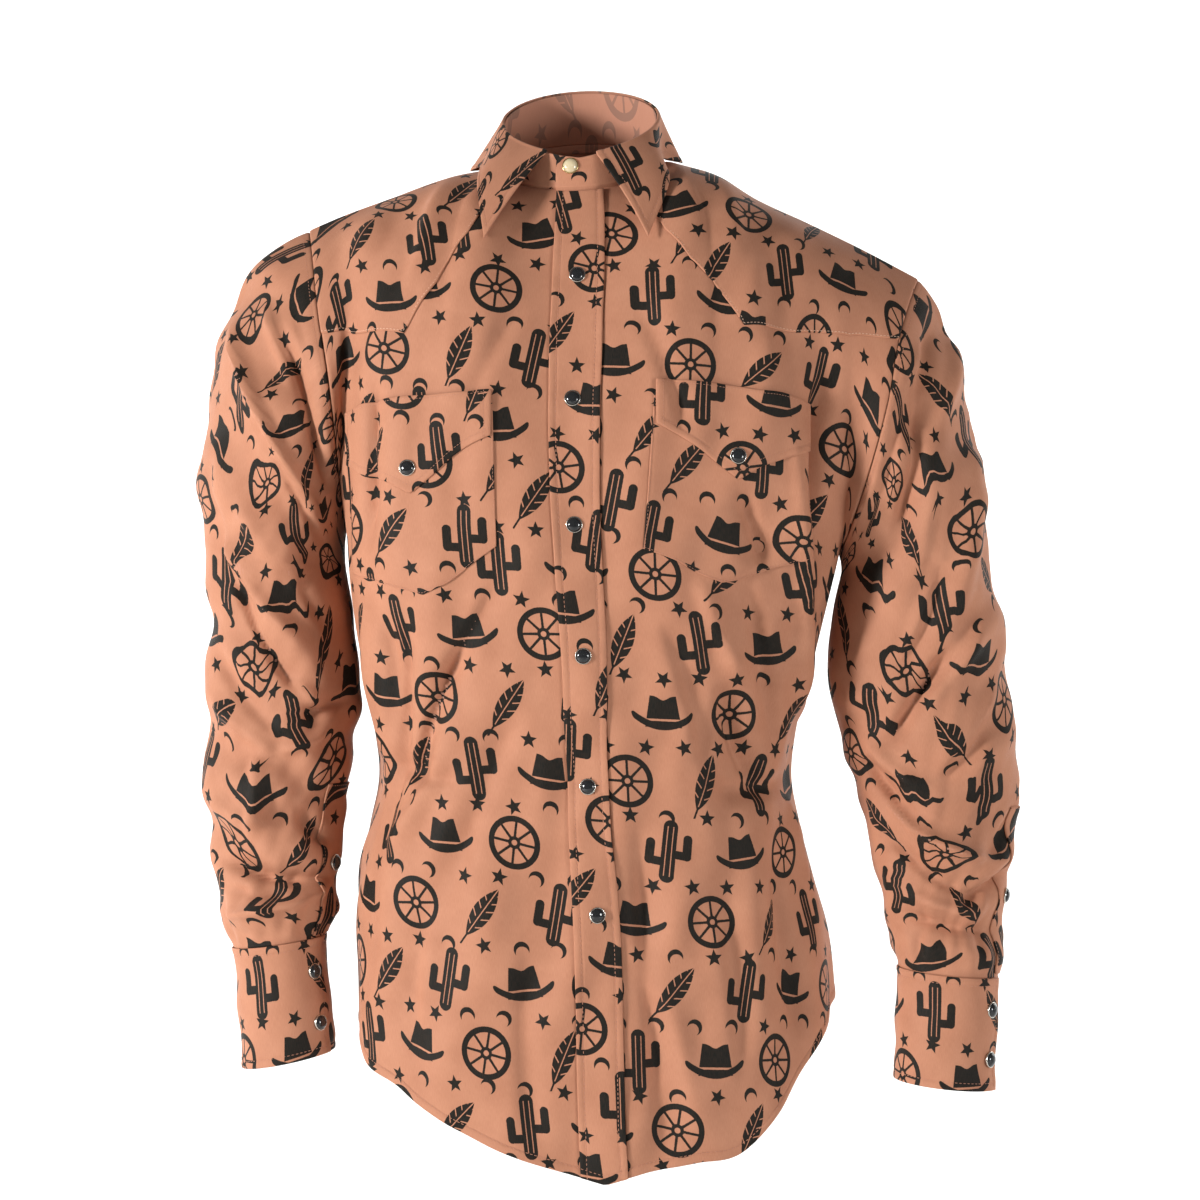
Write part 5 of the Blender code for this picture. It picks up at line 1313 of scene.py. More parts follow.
@dataclass(frozen=True)
class Motifs:
    """The print: dark shapes in the cells of a brickwork lattice, in millimetres.

    Every shape is a distance, negative inside.  Four large shapes take turns in the
    cells, and stars and crescents lie at the points between them.
    """

    cell_x: float = 58.0
    cell_y: float = 52.0
    stray: float = 3.0
    swing: float = 0.5
    small_stray: float = 2.0
    small_swing: float = 3.0
    star_share: float = 0.55
    rag: float = 0.5
    rag_scale: float = 0.7
    edge: float = 0.22
    far: float = 50.0

    def cactus(self, x: Term, y: Term) -> Term:
        """A tall cactus: a rod with an arm on each side, and two ribs left bare."""
        wide, arm_y = abs(x), y - x.math("SIGN") * 3.5
        trunk = rod(x, y, 18.5, 5.4)
        reach = rod(arm_y + 5.0, wide - 7.5, 6.0, 3.2)
        hand = rod(wide - 13.6, arm_y - 1.5, 6.5, 3.4)
        rib = least(0.35 - abs(wide - 2.1), 19.0 - abs(y))
        return most(least(trunk, reach, hand), rib)

    def hat(self, x: Term, y: Term) -> Term:
        """A wide hat from the side: a curled brim, a dented crown and a bare band."""
        brim = rod(y - x * x * 0.017 + 9.5, x, 21.0, 2.7)
        flank = abs(x) - (12.0 - y * 0.17)
        dent = (x * x * -0.05).math("EXPONENT") * 3.2
        crown = most(flank, y + dent - 13.5, -10.0 - y)
        return least(brim, most(crown, 0.8 - abs(y + 4.6)))

    def wheel(self, x: Term, y: Term) -> Term:
        """A wagon wheel: a rim, eight spokes and a ring for the hub."""
        radius = span(x, y)
        rim = abs(radius - 17.6) - 2.2
        spoke = abs((y.math("ARCTAN2", x) * 4.0).math("SINE")) * (radius * 0.25)
        spoke = most(spoke - 0.95, radius - 17.0, 3.0 - radius)
        return least(rim, spoke, abs(radius - 3.4) - 1.3)

    def feather(self, x: Term, y: Term) -> Term:
        """A feather: a lens split by a bare quill line and nicked along its barbs."""
        x, y = x.graph.turned(x, y, 0.62)
        wide = abs(x)
        body = wide - (7.4 - y * y * 0.0142)
        barb = (y - wide * 0.8) % 7.6
        nick = least(0.55 - abs(barb - 0.6), wide - 2.4)
        quill = rod(x, y + 25.0, 5.0, 0.75)
        return least(most(body, 0.38 - wide, nick), quill)

    def star(self, x: Term, y: Term) -> Term:
        """A five-pointed star: the plane folded into a tenth, and one slanted line."""
        radius, fifth = span(x, y), 2 * np.pi / 5
        folded = abs((x.math("ARCTAN2", y) + fifth / 2) % fifth - fifth / 2)
        along, across = radius * folded.math("COSINE"), radius * folded.math("SINE")
        return (along - 6.8) * 0.3623 + across * 0.9322

    def crescent(self, x: Term, y: Term) -> Term:
        """A crescent: a disc without a smaller disc set off its middle."""
        return most(span(x, y) - 6.0, 5.0 - span(x - 2.6, y - 1.0))

    def lattice(self, x: Term, y: Term, width: float, height: float, offset: float,
                stray: float) -> tuple[Term, ...]:
        """Local place in the cell of a brickwork lattice, and the cell's numbers.

        Args:
            x: place across the cloth.
            y: place up the cloth.
            width: cell width.
            height: cell height.
            offset: how far the rows are moved up, in cells.
            stray: how far a cell's shape strays from its middle at most.

        Returns:
            Local x and y, row number, column number and the cell's random value.
        """
        level = y * (1 / height) + offset
        row = level.math("FLOOR")
        place = x * (1 / width) + row % 2.0 * 0.5
        column = place.math("FLOOR")
        chance = x.graph.node("ShaderNodeTexWhiteNoise", {"Vector": x.graph.vector(column, row)},
                              "Color", noise_dimensions="2D")
        red, green, _ = chance.parts()
        local_x = (place - column - 0.5) * width + (red - 0.5) * stray
        local_y = (level - row - 0.5) * height + (green - 0.5) * stray
        return local_x, local_y, row, column, chance.sibling("Value")

    def ink(self, cloth: Term) -> Term:
        """Share of ink, 0 to 1, at a place on the cloth given in millimetres."""
        g, (x, y, _) = cloth.graph, cloth.parts()
        local_x, local_y, row, column, chance = self.lattice(
            x, y, self.cell_x, self.cell_y, 0.0, self.stray)
        place = g.turned(local_x, local_y, (chance - 0.5) * self.swing)
        kind = (column + (row * 2.0 + (row * 0.5).math("FLOOR"))) % 4.0
        large = least(*[shape(*place) + abs(kind - float(number)) * self.far for number, shape
                        in enumerate((self.cactus, self.hat, self.wheel, self.feather))])
        local_x, local_y, _, _, chance = self.lattice(
            x + self.cell_x / 4, y, self.cell_x / 2, self.cell_y, 0.5, self.small_stray)
        place = g.turned(local_x, local_y, chance * self.small_swing)
        starry = chance.math("GREATER_THAN", self.star_share) * self.far
        moonlit = chance.math("LESS_THAN", self.star_share) * self.far
        small = least(self.star(*place) + starry, self.crescent(*place) + moonlit)
        rough = (g.noise(cloth, self.rag_scale, 3.0) - 0.5) * self.rag
        return (least(large, small) + rough).math("MULTIPLY_ADD", -1 / self.edge, 0.5, clamp=True)


@dataclass(frozen=True)
class PrintedCloth:
    """Light cotton with a slight sheen: a dark print on a copper ground, finely woven."""

    name: str
    ground: Colour = (0.50, 0.230, 0.138)
    shade: Colour = (0.38, 0.160, 0.092)
    ink: Colour = (0.0060, 0.0080, 0.0068)
    strength: float = 1.0
    roughness: float = 0.62
    thread: float = 0.42
    sheen: tuple[float, float, Colour] = (0.04, 0.45, (1.0, 0.86, 0.78))

    def build(self) -> bpy.types.Material:
        """Ground and ink by cloth coordinates; the weave is two crossed sine waves."""
        g = Graph(self.name)
        source = g.node("ShaderNodeUVMap", uv_map="cloth")
        cloth = g.node("ShaderNodeVectorMath", {0: source, 3: 1 / MM}, operation="SCALE")
        x, y, _ = cloth.parts()
        ink = Motifs().ink(cloth) * self.strength
        cloudy = g.noise(cloth, 0.035, 3.0)
        slub = g.noise(g.vector(x * 2.2, y * 0.22), 1.0, 2.0)
        blend = slub.math("MULTIPLY_ADD", 0.9, cloudy * 1.1 - 0.55, clamp=True)
        worn = slub.math("MULTIPLY_ADD", -0.10, 1.03)
        turns = 2 * np.pi / self.thread
        crossed = (x * turns).math("SINE") * (y * turns).math("SINE")
        weave = crossed.math("MULTIPLY_ADD", 0.5, slub * 0.9)
        weight, spread, tint = self.sheen
        return g.finish({
            "Base Color": g.mix(ink * worn, g.mix(blend, self.ground, self.shade), self.ink),
            "Normal": g.bump(weave, 0.22, 0.00025),
            "Roughness": slub.math("MULTIPLY_ADD", 0.14, self.roughness - 0.07),
            "Sheen Weight": weight, "Sheen Roughness": spread, "Sheen Tint": (*tint, 1.0),
            "Specular IOR Level": 0.12})


@dataclass(frozen=True)
class Thread:
    """Sewing thread: a plain colour with a twist running round it."""

    name: str
    colour: Colour = (0.50, 0.22, 0.135)
    darkness: float = 0.72

    def build(self) -> bpy.types.Material:
        """Colour by fine noise; the twist is a finer noise on the object's own place."""
        g = Graph(self.name)
        place = g.node("ShaderNodeTexCoord", output="Object")
        dark = tuple(part * self.darkness for part in self.colour)
        return g.finish({"Base Color": g.mix(g.noise(place, 900.0, 2.0), dark, self.colour),
                         "Normal": g.bump(g.noise(place, 2600.0, 1.0), 0.3, 0.0001),
                         "Roughness": 0.55})


@dataclass(frozen=True)
class Gloss:
    """Hard finish of a snap: a colour with faint clouds, and fine wear in its gloss."""

    name: str
    colour: Colour
    clouds: Colour
    roughness: float
    metallic: float = 0.0
    coat: float = 0.0
    cloud_scale: float = 220.0

    def build(self) -> bpy.types.Material:
        """Two colours mixed by noise; roughness varies a little with a finer noise."""
        g = Graph(self.name)
        place = g.node("ShaderNodeTexCoord", output="Object")
        wear = g.noise(place, 1400.0, 3.0)
        return g.finish({
            "Base Color": g.mix(g.noise(place, self.cloud_scale, 4.0), self.colour, self.clouds),
            "Roughness": wear.math("MULTIPLY_ADD", 0.12, self.roughness - 0.06),
            "Metallic": self.metallic, "Coat Weight": self.coat, "Coat Roughness": 0.05})


@dataclass(frozen=True)
class Plaster:
    """Matt pale surface of the room."""

    name: str = "room_pale"
    colour: Colour = (0.86, 0.86, 0.85)

    def build(self) -> bpy.types.Material:
        """One pale colour, clouded by less than a hundredth."""
        g = Graph(self.name)
        darker = tuple(part * 0.99 for part in self.colour)
        clouds = g.noise(g.node("ShaderNodeTexCoord", output="Object"), 0.6)
        return g.finish({"Base Color": g.mix(clouds, darker, self.colour), "Roughness": 0.9})


@dataclass
class Finishes:
    """Every material, built once."""

    def __post_init__(self) -> None:
        """Build them."""
        self.cloth = PrintedCloth("cotton_print").build()
        self.reverse = PrintedCloth("cotton_reverse", (0.50, 0.235, 0.155), (0.43, 0.20, 0.13),
                                    (0.16, 0.105, 0.085), 0.55, 0.75).build()
        self.thread = Thread("thread_copper").build()
        self.pale_thread = Thread("thread_pale", (0.74, 0.47, 0.33)).build()
        self.black = Gloss("snap_black", (0.010, 0.011, 0.012), (0.018, 0.019, 0.020), 0.12,
                           coat=0.2).build()
        self.ring = Gloss("snap_ring", (0.66, 0.63, 0.56), (0.58, 0.55, 0.49), 0.24,
                          metallic=1.0).build()
        self.pearl = Gloss("snap_pearl", (0.72, 0.62, 0.42), (0.52, 0.40, 0.22), 0.2,
                           coat=0.7, cloud_scale=330.0).build()
        self.gold = Gloss("snap_gold", (0.70, 0.55, 0.28), (0.60, 0.46, 0.22), 0.26,
                          metallic=1.0).build()


# --- sewn pieces -------------------------------------------------------------
SEAM_LINES = (0.4, 1.2, 2.6)
EDGE_LINES = (0.4, 1.2, 2.4)
YOKE_LINES = (0.35, 0.9, 1.8, 2.7, 4.0)
FINE_THREAD = {"length": 2.0, "radius": 0.24, "pitch": 2.8}


class Held(Enum):
    """How a piece of cloth is held."""

    HUNG = "hung"
    FOLDED = "folded"
    STRETCHED = "stretched"


@dataclass(frozen=True)
class Cut:
    """Flat size of a piece: width and length of its pattern, and its area."""

    width: float
    length: float
    area: float
    held: Held = Held.HUNG


@dataclass
class Workroom:
    """Where finished pieces are entered: each rides on the shirt's root body, and the CAD nodes it
    stands for are hidden.
    """

    finishes: Finishes
    torso: Torso
    pieces: int = 0

    def enter(self, thing: bpy.types.Object, slot: str, *nodes: str) -> bpy.types.Object:
        """Let a piece ride on the shirt and stand for its nodes, which are hidden."""
        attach(thing, "root")
        if nodes:
            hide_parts(*nodes)
        self.pieces += 1
        log.info("%s: %d faces", thing.name, len(thing.data.polygons))
        return thing

    def cloth(self, skin: Skin, cut: Cut, stitching: Stitching, *rests_on: str,
              pale: bool = False) -> bpy.types.Object:
        """Args:
            skin: the piece's wall, named as the CAD node that it stands for.
            cut: flat size of its pattern; not used.
            stitching: rows of stitches on it.
            rests_on: nodes that carry it; not used.
            pale: whether its thread is paler than the cloth.

        Returns:
            The cloth piece.
        """
        thing = self.enter(skin.build([self.finishes.cloth, self.finishes.reverse]), "cloth",
                           skin.name)
        finish = self.finishes.pale_thread if pale else self.finishes.thread
        sewn = self.enter(stitching.build(finish), "cloth")
        return thing


@dataclass
class Body:
    """Two fronts, the back and the placket band."""

    room: Workroom
    wall: float = 0.75
    girth: float = 225.0
    drop: float = 470.0
    rise: float = 300.0
    placket_edges: tuple[float, float] = (-0.066, 0.070)
    placket_top: float = 1.991
    placket_height: float = 1.9
    placket_cloth: float = 1.3
    hem: float = 7.0
    hem_fold: tuple[float, float] = (6.4, 8.2)
    placket_stitch: float = 5.5

    def rows(self, lower: int = 140, upper: int = 88) -> Array:
        """Rows of t from the hem to the top, close at the hem fold and at the top."""
        below = spaced(lower, self.drop, (0.4, 1.2, 3.0, 5.6, 6.6, 7.2, 8.2))
        above = spaced(upper, self.rise, SEAM_LINES)
        return np.concatenate([below[:-8], 1 + above[4:]])

    def relief(self, grid: Array, left: bool, right: bool) -> Array:
        """Hem fold and seam dips: the cloth is thicker up to the hem's stitch line.

        Args:
            grid: outer face.
            left: whether the first column is a side seam.
            right: whether the last column is a side seam.

        Returns:
            Height to add at each point.
        """
        first, last, low, high = edge_distances(grid)
        height = 0.35 * (1 - ease(*self.hem_fold, low)) + groove(low, self.hem, 0.4)
        height = height - 0.5 * bell(high, 1.6)
        for seam, away in ((left, first), (right, last)):
            if seam:
                height = height - 0.6 * bell(away, 1.8)
        return height

    def front(self, side: Side, cut: Cut) -> bpy.types.Object:
        """A front panel, from its side seam to the placket's stitched edge."""
        torso, edge, right = self.room.torso, self.placket_edges[1], side is Side.RIGHT
        start, end, count = (-1, edge, 76) if right else (edge, 1, 68)
        columns = spaced(count, self.girth * (end - start), SEAM_LINES)
        u, t = np.meshgrid(start + (end - start) * columns, self.rows())
        grid = torso.worn(Face.FRONT)(u, t)
        skin = Skin("front_" + side.value, grid, from_axis(grid), torso.cloth(Face.FRONT, u, t),
                    self.wall, self.relief(grid, right, not right))
        return self.room.cloth(skin, cut, skin.sewn([Row(self.hem, 2)], label="hem_"))

    def back(self, cut: Cut) -> bpy.types.Object:
        """The back panel, from side seam to side seam."""
        torso = self.room.torso
        u, t = np.meshgrid(2 * spaced(130, self.girth * 2, SEAM_LINES) - 1, self.rows(136, 84))
        grid = torso.worn(Face.BACK)(u, t)
        uv = torso.cloth(Face.BACK, u, t) * np.array([-1.0, 1.0]) + np.array([0.021, 0.017])
        skin = Skin("back", grid, from_axis(grid), uv, self.wall, self.relief(grid, True, True))
        return self.room.cloth(skin, cut, skin.sewn([Row(self.hem, 2)], label="hem_"))

    def placket(self, cut: Cut) -> bpy.types.Object:
        """The band down the middle, stitched along both edges and puckered by it."""
        torso = self.room.torso
        low, high = self.placket_edges
        share = spaced(9, 34.0, (0.25, 0.8, 2.2, 3.8, 4.8, 5.5, 6.2, 7.4))
        u, t = np.meshgrid(low + (high - low) * share, self.rows(200, 130) * self.placket_top / 2.0)
        base = torso.worn(Face.FRONT)(u, t)
        normals = outward_normals(base, from_axis(base))
        first, last, bottom, _ = edge_distances(base)
        near = np.minimum(first, last)
        length = bottom.mean(axis=1, keepdims=True)
        pucker = (np.sin(length / 1.9 + np.sin(length / 11.0)) * 0.5
                  + np.sin(length / 3.1) * 0.5) * bell(near - self.placket_stitch, 3.2)
        relief = groove(near, self.placket_stitch, 0.38) + 0.12 * pucker
        relief = relief + 0.25 * (1 - ease(*self.hem_fold, bottom)) - 0.35 * bell(
            bottom - self.hem, 0.9)
        grid = base + normals * self.placket_height
        skin = Skin("placket", grid, from_axis(grid),
                    torso.cloth(Face.FRONT, u, t) + np.array([0.013, 0.031]),
                    self.placket_cloth, relief)
        rows = [Row(self.placket_stitch, 0), Row(self.placket_stitch, 1), Row(self.hem, 2)]
        return self.room.cloth(skin, cut, skin.sewn(rows, normals, length=2.2),
                               "front_left", "front_right")


def yoke_edges(side: Side) -> tuple[Table, Table]:
    """Slanted inner edge of a front yoke down to its point, and lower edge from there out."""
    inner, lower = {
        Side.RIGHT: ([(-83, -44), (-98, -66), (-107, -83), (-119, -99), (-132, -120)],
                     [(-132, -120), (-152, -119), (-173, -118)]),
        Side.LEFT: ([(64, -40), (82, -64), (95, -78), (108, -93), (123, -115)],
                    [(123, -115), (162, -119), (203, -121)])}[side]
    return table("x z", inner), table("x z", lower)


@dataclass
class Yokes:
    """Pointed front yokes and the back yoke, laid on the panels."""

    room: Workroom
    height: float = 1.5
    cloth: float = 0.9
    edge_stitch: float = 1.8
    back_armhole: float = 1.60
    back_point: float = 1.30

    def lay(self, face: Face, u: Array, t: Array, near: Array) -> tuple[Array, Array, Array]:
        """Lay a yoke on its panel.

        Args:
            face: the panel's face.
            u: columns of the yoke's grid.
            t: rows of the yoke's grid.
            near: distance from the yoke's free edge.

        Returns:
            Outer face, its normals and its relief, pressed down along the free edge.
        """
        base = self.room.torso.worn(face)(u, t)
        normals = outward_normals(base, from_axis(base))
        relief = groove(near, self.edge_stitch, 0.25, 0.6) - 0.4 * bell(near, 0.7)
        return base + normals * self.height, normals, relief

    def front(self, side: Side, cut: Cut) -> bpy.types.Object:
        """A front yoke: from its point up to the neck and out to the armhole."""
        torso, sign, right = self.room.torso, side.sign, side is Side.RIGHT
        (inner_u, inner_t), (lower_u, lower_t) = (torso.locate(edge["x"], edge["z"])
                                                  for edge in yoke_edges(side))
        start, level = (0.205, -117.0) if right else (0.165, -122.0)
        shares = np.linspace(0.0, 1.0, 101)
        hole = along_table(torso.armholes["front", side.value], shares)[:, 2]
        armhole_t = 1 + np.interp(level, hole, shares)
        top = torso.neck_limit(Face.FRONT, np.array([sign * start]))
        edge_u = np.concatenate([[start], np.abs(inner_u), np.abs(lower_u[1:]), [1.0]])
        edge_t = np.concatenate([top, inner_t, lower_t[1:], [armhole_t]])
        width = spaced(64, 170.0, EDGE_LINES, ((abs(inner_u[-1]) - start) / (1 - start),))
        columns = start + (1 - start) * width
        low = np.interp(columns, edge_u, edge_t)
        high = np.maximum(torso.neck_limit(Face.FRONT, sign * columns), low + 0.002)
        share = spaced(44, 95.0, YOKE_LINES)
        u = sign * np.broadcast_to(columns, (len(share), len(columns)))
        t = low + (high - low) * share[:, None]
        plain = torso.smooth_face(Face.FRONT)
        dense = np.linspace(start, 1.0, 160)
        near = away_from(plain(u, t), plain(sign * dense, np.interp(dense, edge_u, edge_t)))
        grid, normals, relief = self.lay(Face.FRONT, u, t, near)
        relief = relief - 0.5 * bell(edge_distances(grid)[1], 1.6)
        bend = int(np.argmin(np.abs(columns - abs(inner_u[-1]))))
        shift = np.array([0.027, 0.012]) if right else np.array([-0.019, 0.024])
        skin = Skin("yoke_front_" + side.value, grid, from_axis(grid),
                    torso.cloth(Face.FRONT, u, t) + shift, self.cloth, relief)
        stitches = skin.sewn([], normals, **FINE_THREAD)
        stitches.sew(*self.inside(grid + normals * relief[..., None], normals, bend))
        return self.room.cloth(skin, cut, stitches, "front_" + side.value, pale=True)

    def inside(self, outer: Array, normals: Array, bend: int) -> tuple[Array, Array]:
        """Stitch line beside the lower edge; steep columns are read along their rows.

        Args:
            outer: outer face.
            normals: its normals.
            bend: number of the column at the yoke's point.

        Returns:
            Places of the line, and the face's normals there.
        """
        line = inset(outer, self.edge_stitch, 2)
        inward = inset(outer + normals * 10.0, self.edge_stitch, 2) - line
        edge = outer[0]
        across = unit(np.cross(normals[0], unit(np.gradient(edge, axis=0))))
        across = across * np.sign(np.sum(across * (outer[-1] - edge), axis=-1, keepdims=True))
        steep = (np.arange(len(edge)) < bend)[:, None]
        line = np.where(steep, edge + across * self.edge_stitch, line)
        keep = np.linalg.norm(outer[-1] - edge, axis=-1) > 2.5 * self.edge_stitch
        return line[keep], unit(np.where(steep, normals[0], inward))[keep]

    def back(self, cut: Cut) -> bpy.types.Object:
        """The back yoke, whose lower edge runs down to a point in the middle."""
        torso = self.room.torso
        columns = 2 * spaced(110, 450.0, EDGE_LINES, (0.5,)) - 1
        drop = self.back_armhole - self.back_point
        low = self.back_armhole - drop * (1 - np.abs(columns)) ** 1.2
        high = torso.neck_limit(Face.BACK, columns)
        share = spaced(52, 180.0, YOKE_LINES)
        u = np.broadcast_to(columns, (len(share), len(columns)))
        t = low + (high - low) * share[:, None]
        near = lengths(torso.smooth_face(Face.BACK)(u, t), 0)
        grid, normals, relief = self.lay(Face.BACK, u, t, near)
        first, last, _, _ = edge_distances(grid)
        relief = relief - 0.5 * bell(np.minimum(first, last), 1.6)
        uv = torso.cloth(Face.BACK, u, t) * np.array([-1.0, 1.0]) + np.array([-0.011, 0.038])
        skin = Skin("yoke_back", grid, from_axis(grid), uv, self.cloth, relief)
        stitches = skin.sewn([Row(self.edge_stitch, 2)], normals, **FINE_THREAD)
        return self.room.cloth(skin, cut, stitches, "back", pale=True)


@dataclass(frozen=True)
class Patch:
    """A pocket or a flap: its name, the node under it, its columns and its make.

    The columns are given by their upper and lower ends, and point is the number of
    the column at its point.  Bands are the stitch lines' distances from the sides and
    the lower edge, and from the upper edge; shift moves its print against the panel's.
    """

    node: str
    carrier: str
    columns: Table
    point: int
    shift: tuple[float, float]
    height: float
    cloth: float
    band: float
    top_band: float


def patches(side: Side) -> tuple[Patch, Patch]:
    """The patch pocket and the flap of one side."""
    pocket, flap = {
        Side.RIGHT: (
            ([(-177, -188, -171, -301), (-160, -182, -149, -307), (-141, -179, -129, -312),
              (-127, -178, -115, -316), (-110, -177, -97, -307), (-91, -176, -79, -293),
              (-64, -174, -61, -280)], 3, (0.024, -0.019)),
            ([(-178, -178, -176, -218), (-160, -172, -161, -226), (-140, -169, -141, -232),
              (-127, -168, -125, -241), (-111, -167, -110, -229), (-92, -166, -93, -213),
              (-65, -164, -65, -198)], 3, (-0.015, 0.026))),
        Side.LEFT: (
            ([(56, -166, 47, -282), (75, -166, 70, -290), (95, -168, 90, -301),
              (110, -170, 106, -307), (121, -171, 118, -305), (133, -173, 133, -300),
              (152, -175, 149, -295), (174, -182, 171, -289)], 3, (-0.027, 0.022)),
            ([(57, -156, 57, -189), (76, -156, 75, -199), (95, -158, 91, -209),
              (112, -160, 106, -221), (120, -161, 118, -231), (130, -163, 130, -223),
              (151, -165, 148, -216), (175, -172, 173, -208)], 4, (0.020, -0.029)))}[side]
    made = []
    for kind, under, (rows, point, shift), make in (
            ("pocket_", "front_", pocket, (1.4, 0.8, 1.4, 9.0)),
            ("flap_", "pocket_", flap, (Pockets.flap_height, 1.0, 6.0, 2.4))):
        made.append(Patch(kind + side.value, under + side.value,
                          table("top_x top_z low_x low_z", rows), point, shift, *make))
    return made[0], made[1]


@dataclass
class Pockets:
    """Patch pockets with pointed bottoms, and pointed flaps over their mouths."""

    room: Workroom
    flap_height: float = 3.0
    width: float = 115.0
    row_step: float = 2.8

    def spread(self, patch: Patch, share: Array, drop: Array) -> tuple[Array, Array]:
        """The panel's u and t under a grid laid between the columns' ends.

        Each end line is read in two halves, so that it keeps its point.

        Args:
            patch: the pocket or flap.
            share: shares of its width.
            drop: shares of its height.

        Returns:
            The panel's u and t at each point of the grid.
        """
        columns, point = patch.columns, patch.point
        knots = run_along(np.stack([columns["top_x"], columns["top_z"]], axis=1))
        knots /= knots[-1]
        read = {}
        for name, values in columns.items():
            halves = [smooth(knots[part], values[part], share)
                      for part in (slice(None, point + 1), slice(point, None))]
            read[name] = np.where(share < knots[point], *halves)
        x = read["top_x"] + (read["low_x"] - read["top_x"]) * drop[:, None]
        z = read["top_z"] + (read["low_z"] - read["top_z"]) * drop[:, None]
        return self.room.torso.locate(x, z)

    def place(self, patch: Patch, cut: Cut) -> bpy.types.Object:
        """Build one pocket or flap."""
        torso, band, columns = self.room.torso, patch.band, patch.columns
        close = (0.3, 0.9, band - 0.7, band, band + 0.8, band + 2.4)
        deep = float(np.mean(columns["top_z"] - columns["low_z"]))
        drop = spaced(max(int(deep / self.row_step), 12), deep, close)
        u, t = self.spread(patch, spaced(42, self.width, close, (0.44,)), drop)
        base = torso.worn(Face.FRONT)(u, t)
        normals = outward_normals(base, from_axis(base))
        first, last, top, bottom = edge_distances(base)
        near = nearest(first, last, bottom)
        relief = groove(near, band, 0.3, 0.7) - 0.35 * bell(np.minimum(near, top), 0.7)
        relief = relief - 0.3 * bell(top - patch.top_band, 0.7)
        grid = base + normals * patch.height
        skin = Skin(patch.node, grid, from_axis(grid),
                    torso.cloth(Face.FRONT, u, t) + np.array(patch.shift), patch.cloth, relief)
        rows = [Row(band, edge, 0.02, 0.98) for edge in (0, 1, 3)]
        rows.append(Row(patch.top_band, 2, 0.03, 0.97))
        stitches = skin.sewn(rows, normals, length=1.9, radius=0.2, pitch=2.6)
        return self.room.cloth(skin, cut, stitches, patch.carrier)


def carried_on(edge: Array, inward: Array, under: tuple[tuple[float, float], ...]) -> list[Array]:
    """Rows that carry an edge on under a seam, each some way inward and some way up."""
    return [edge + inward * tuck + np.array([0.0, 0.0, rise]) for tuck, rise in under]


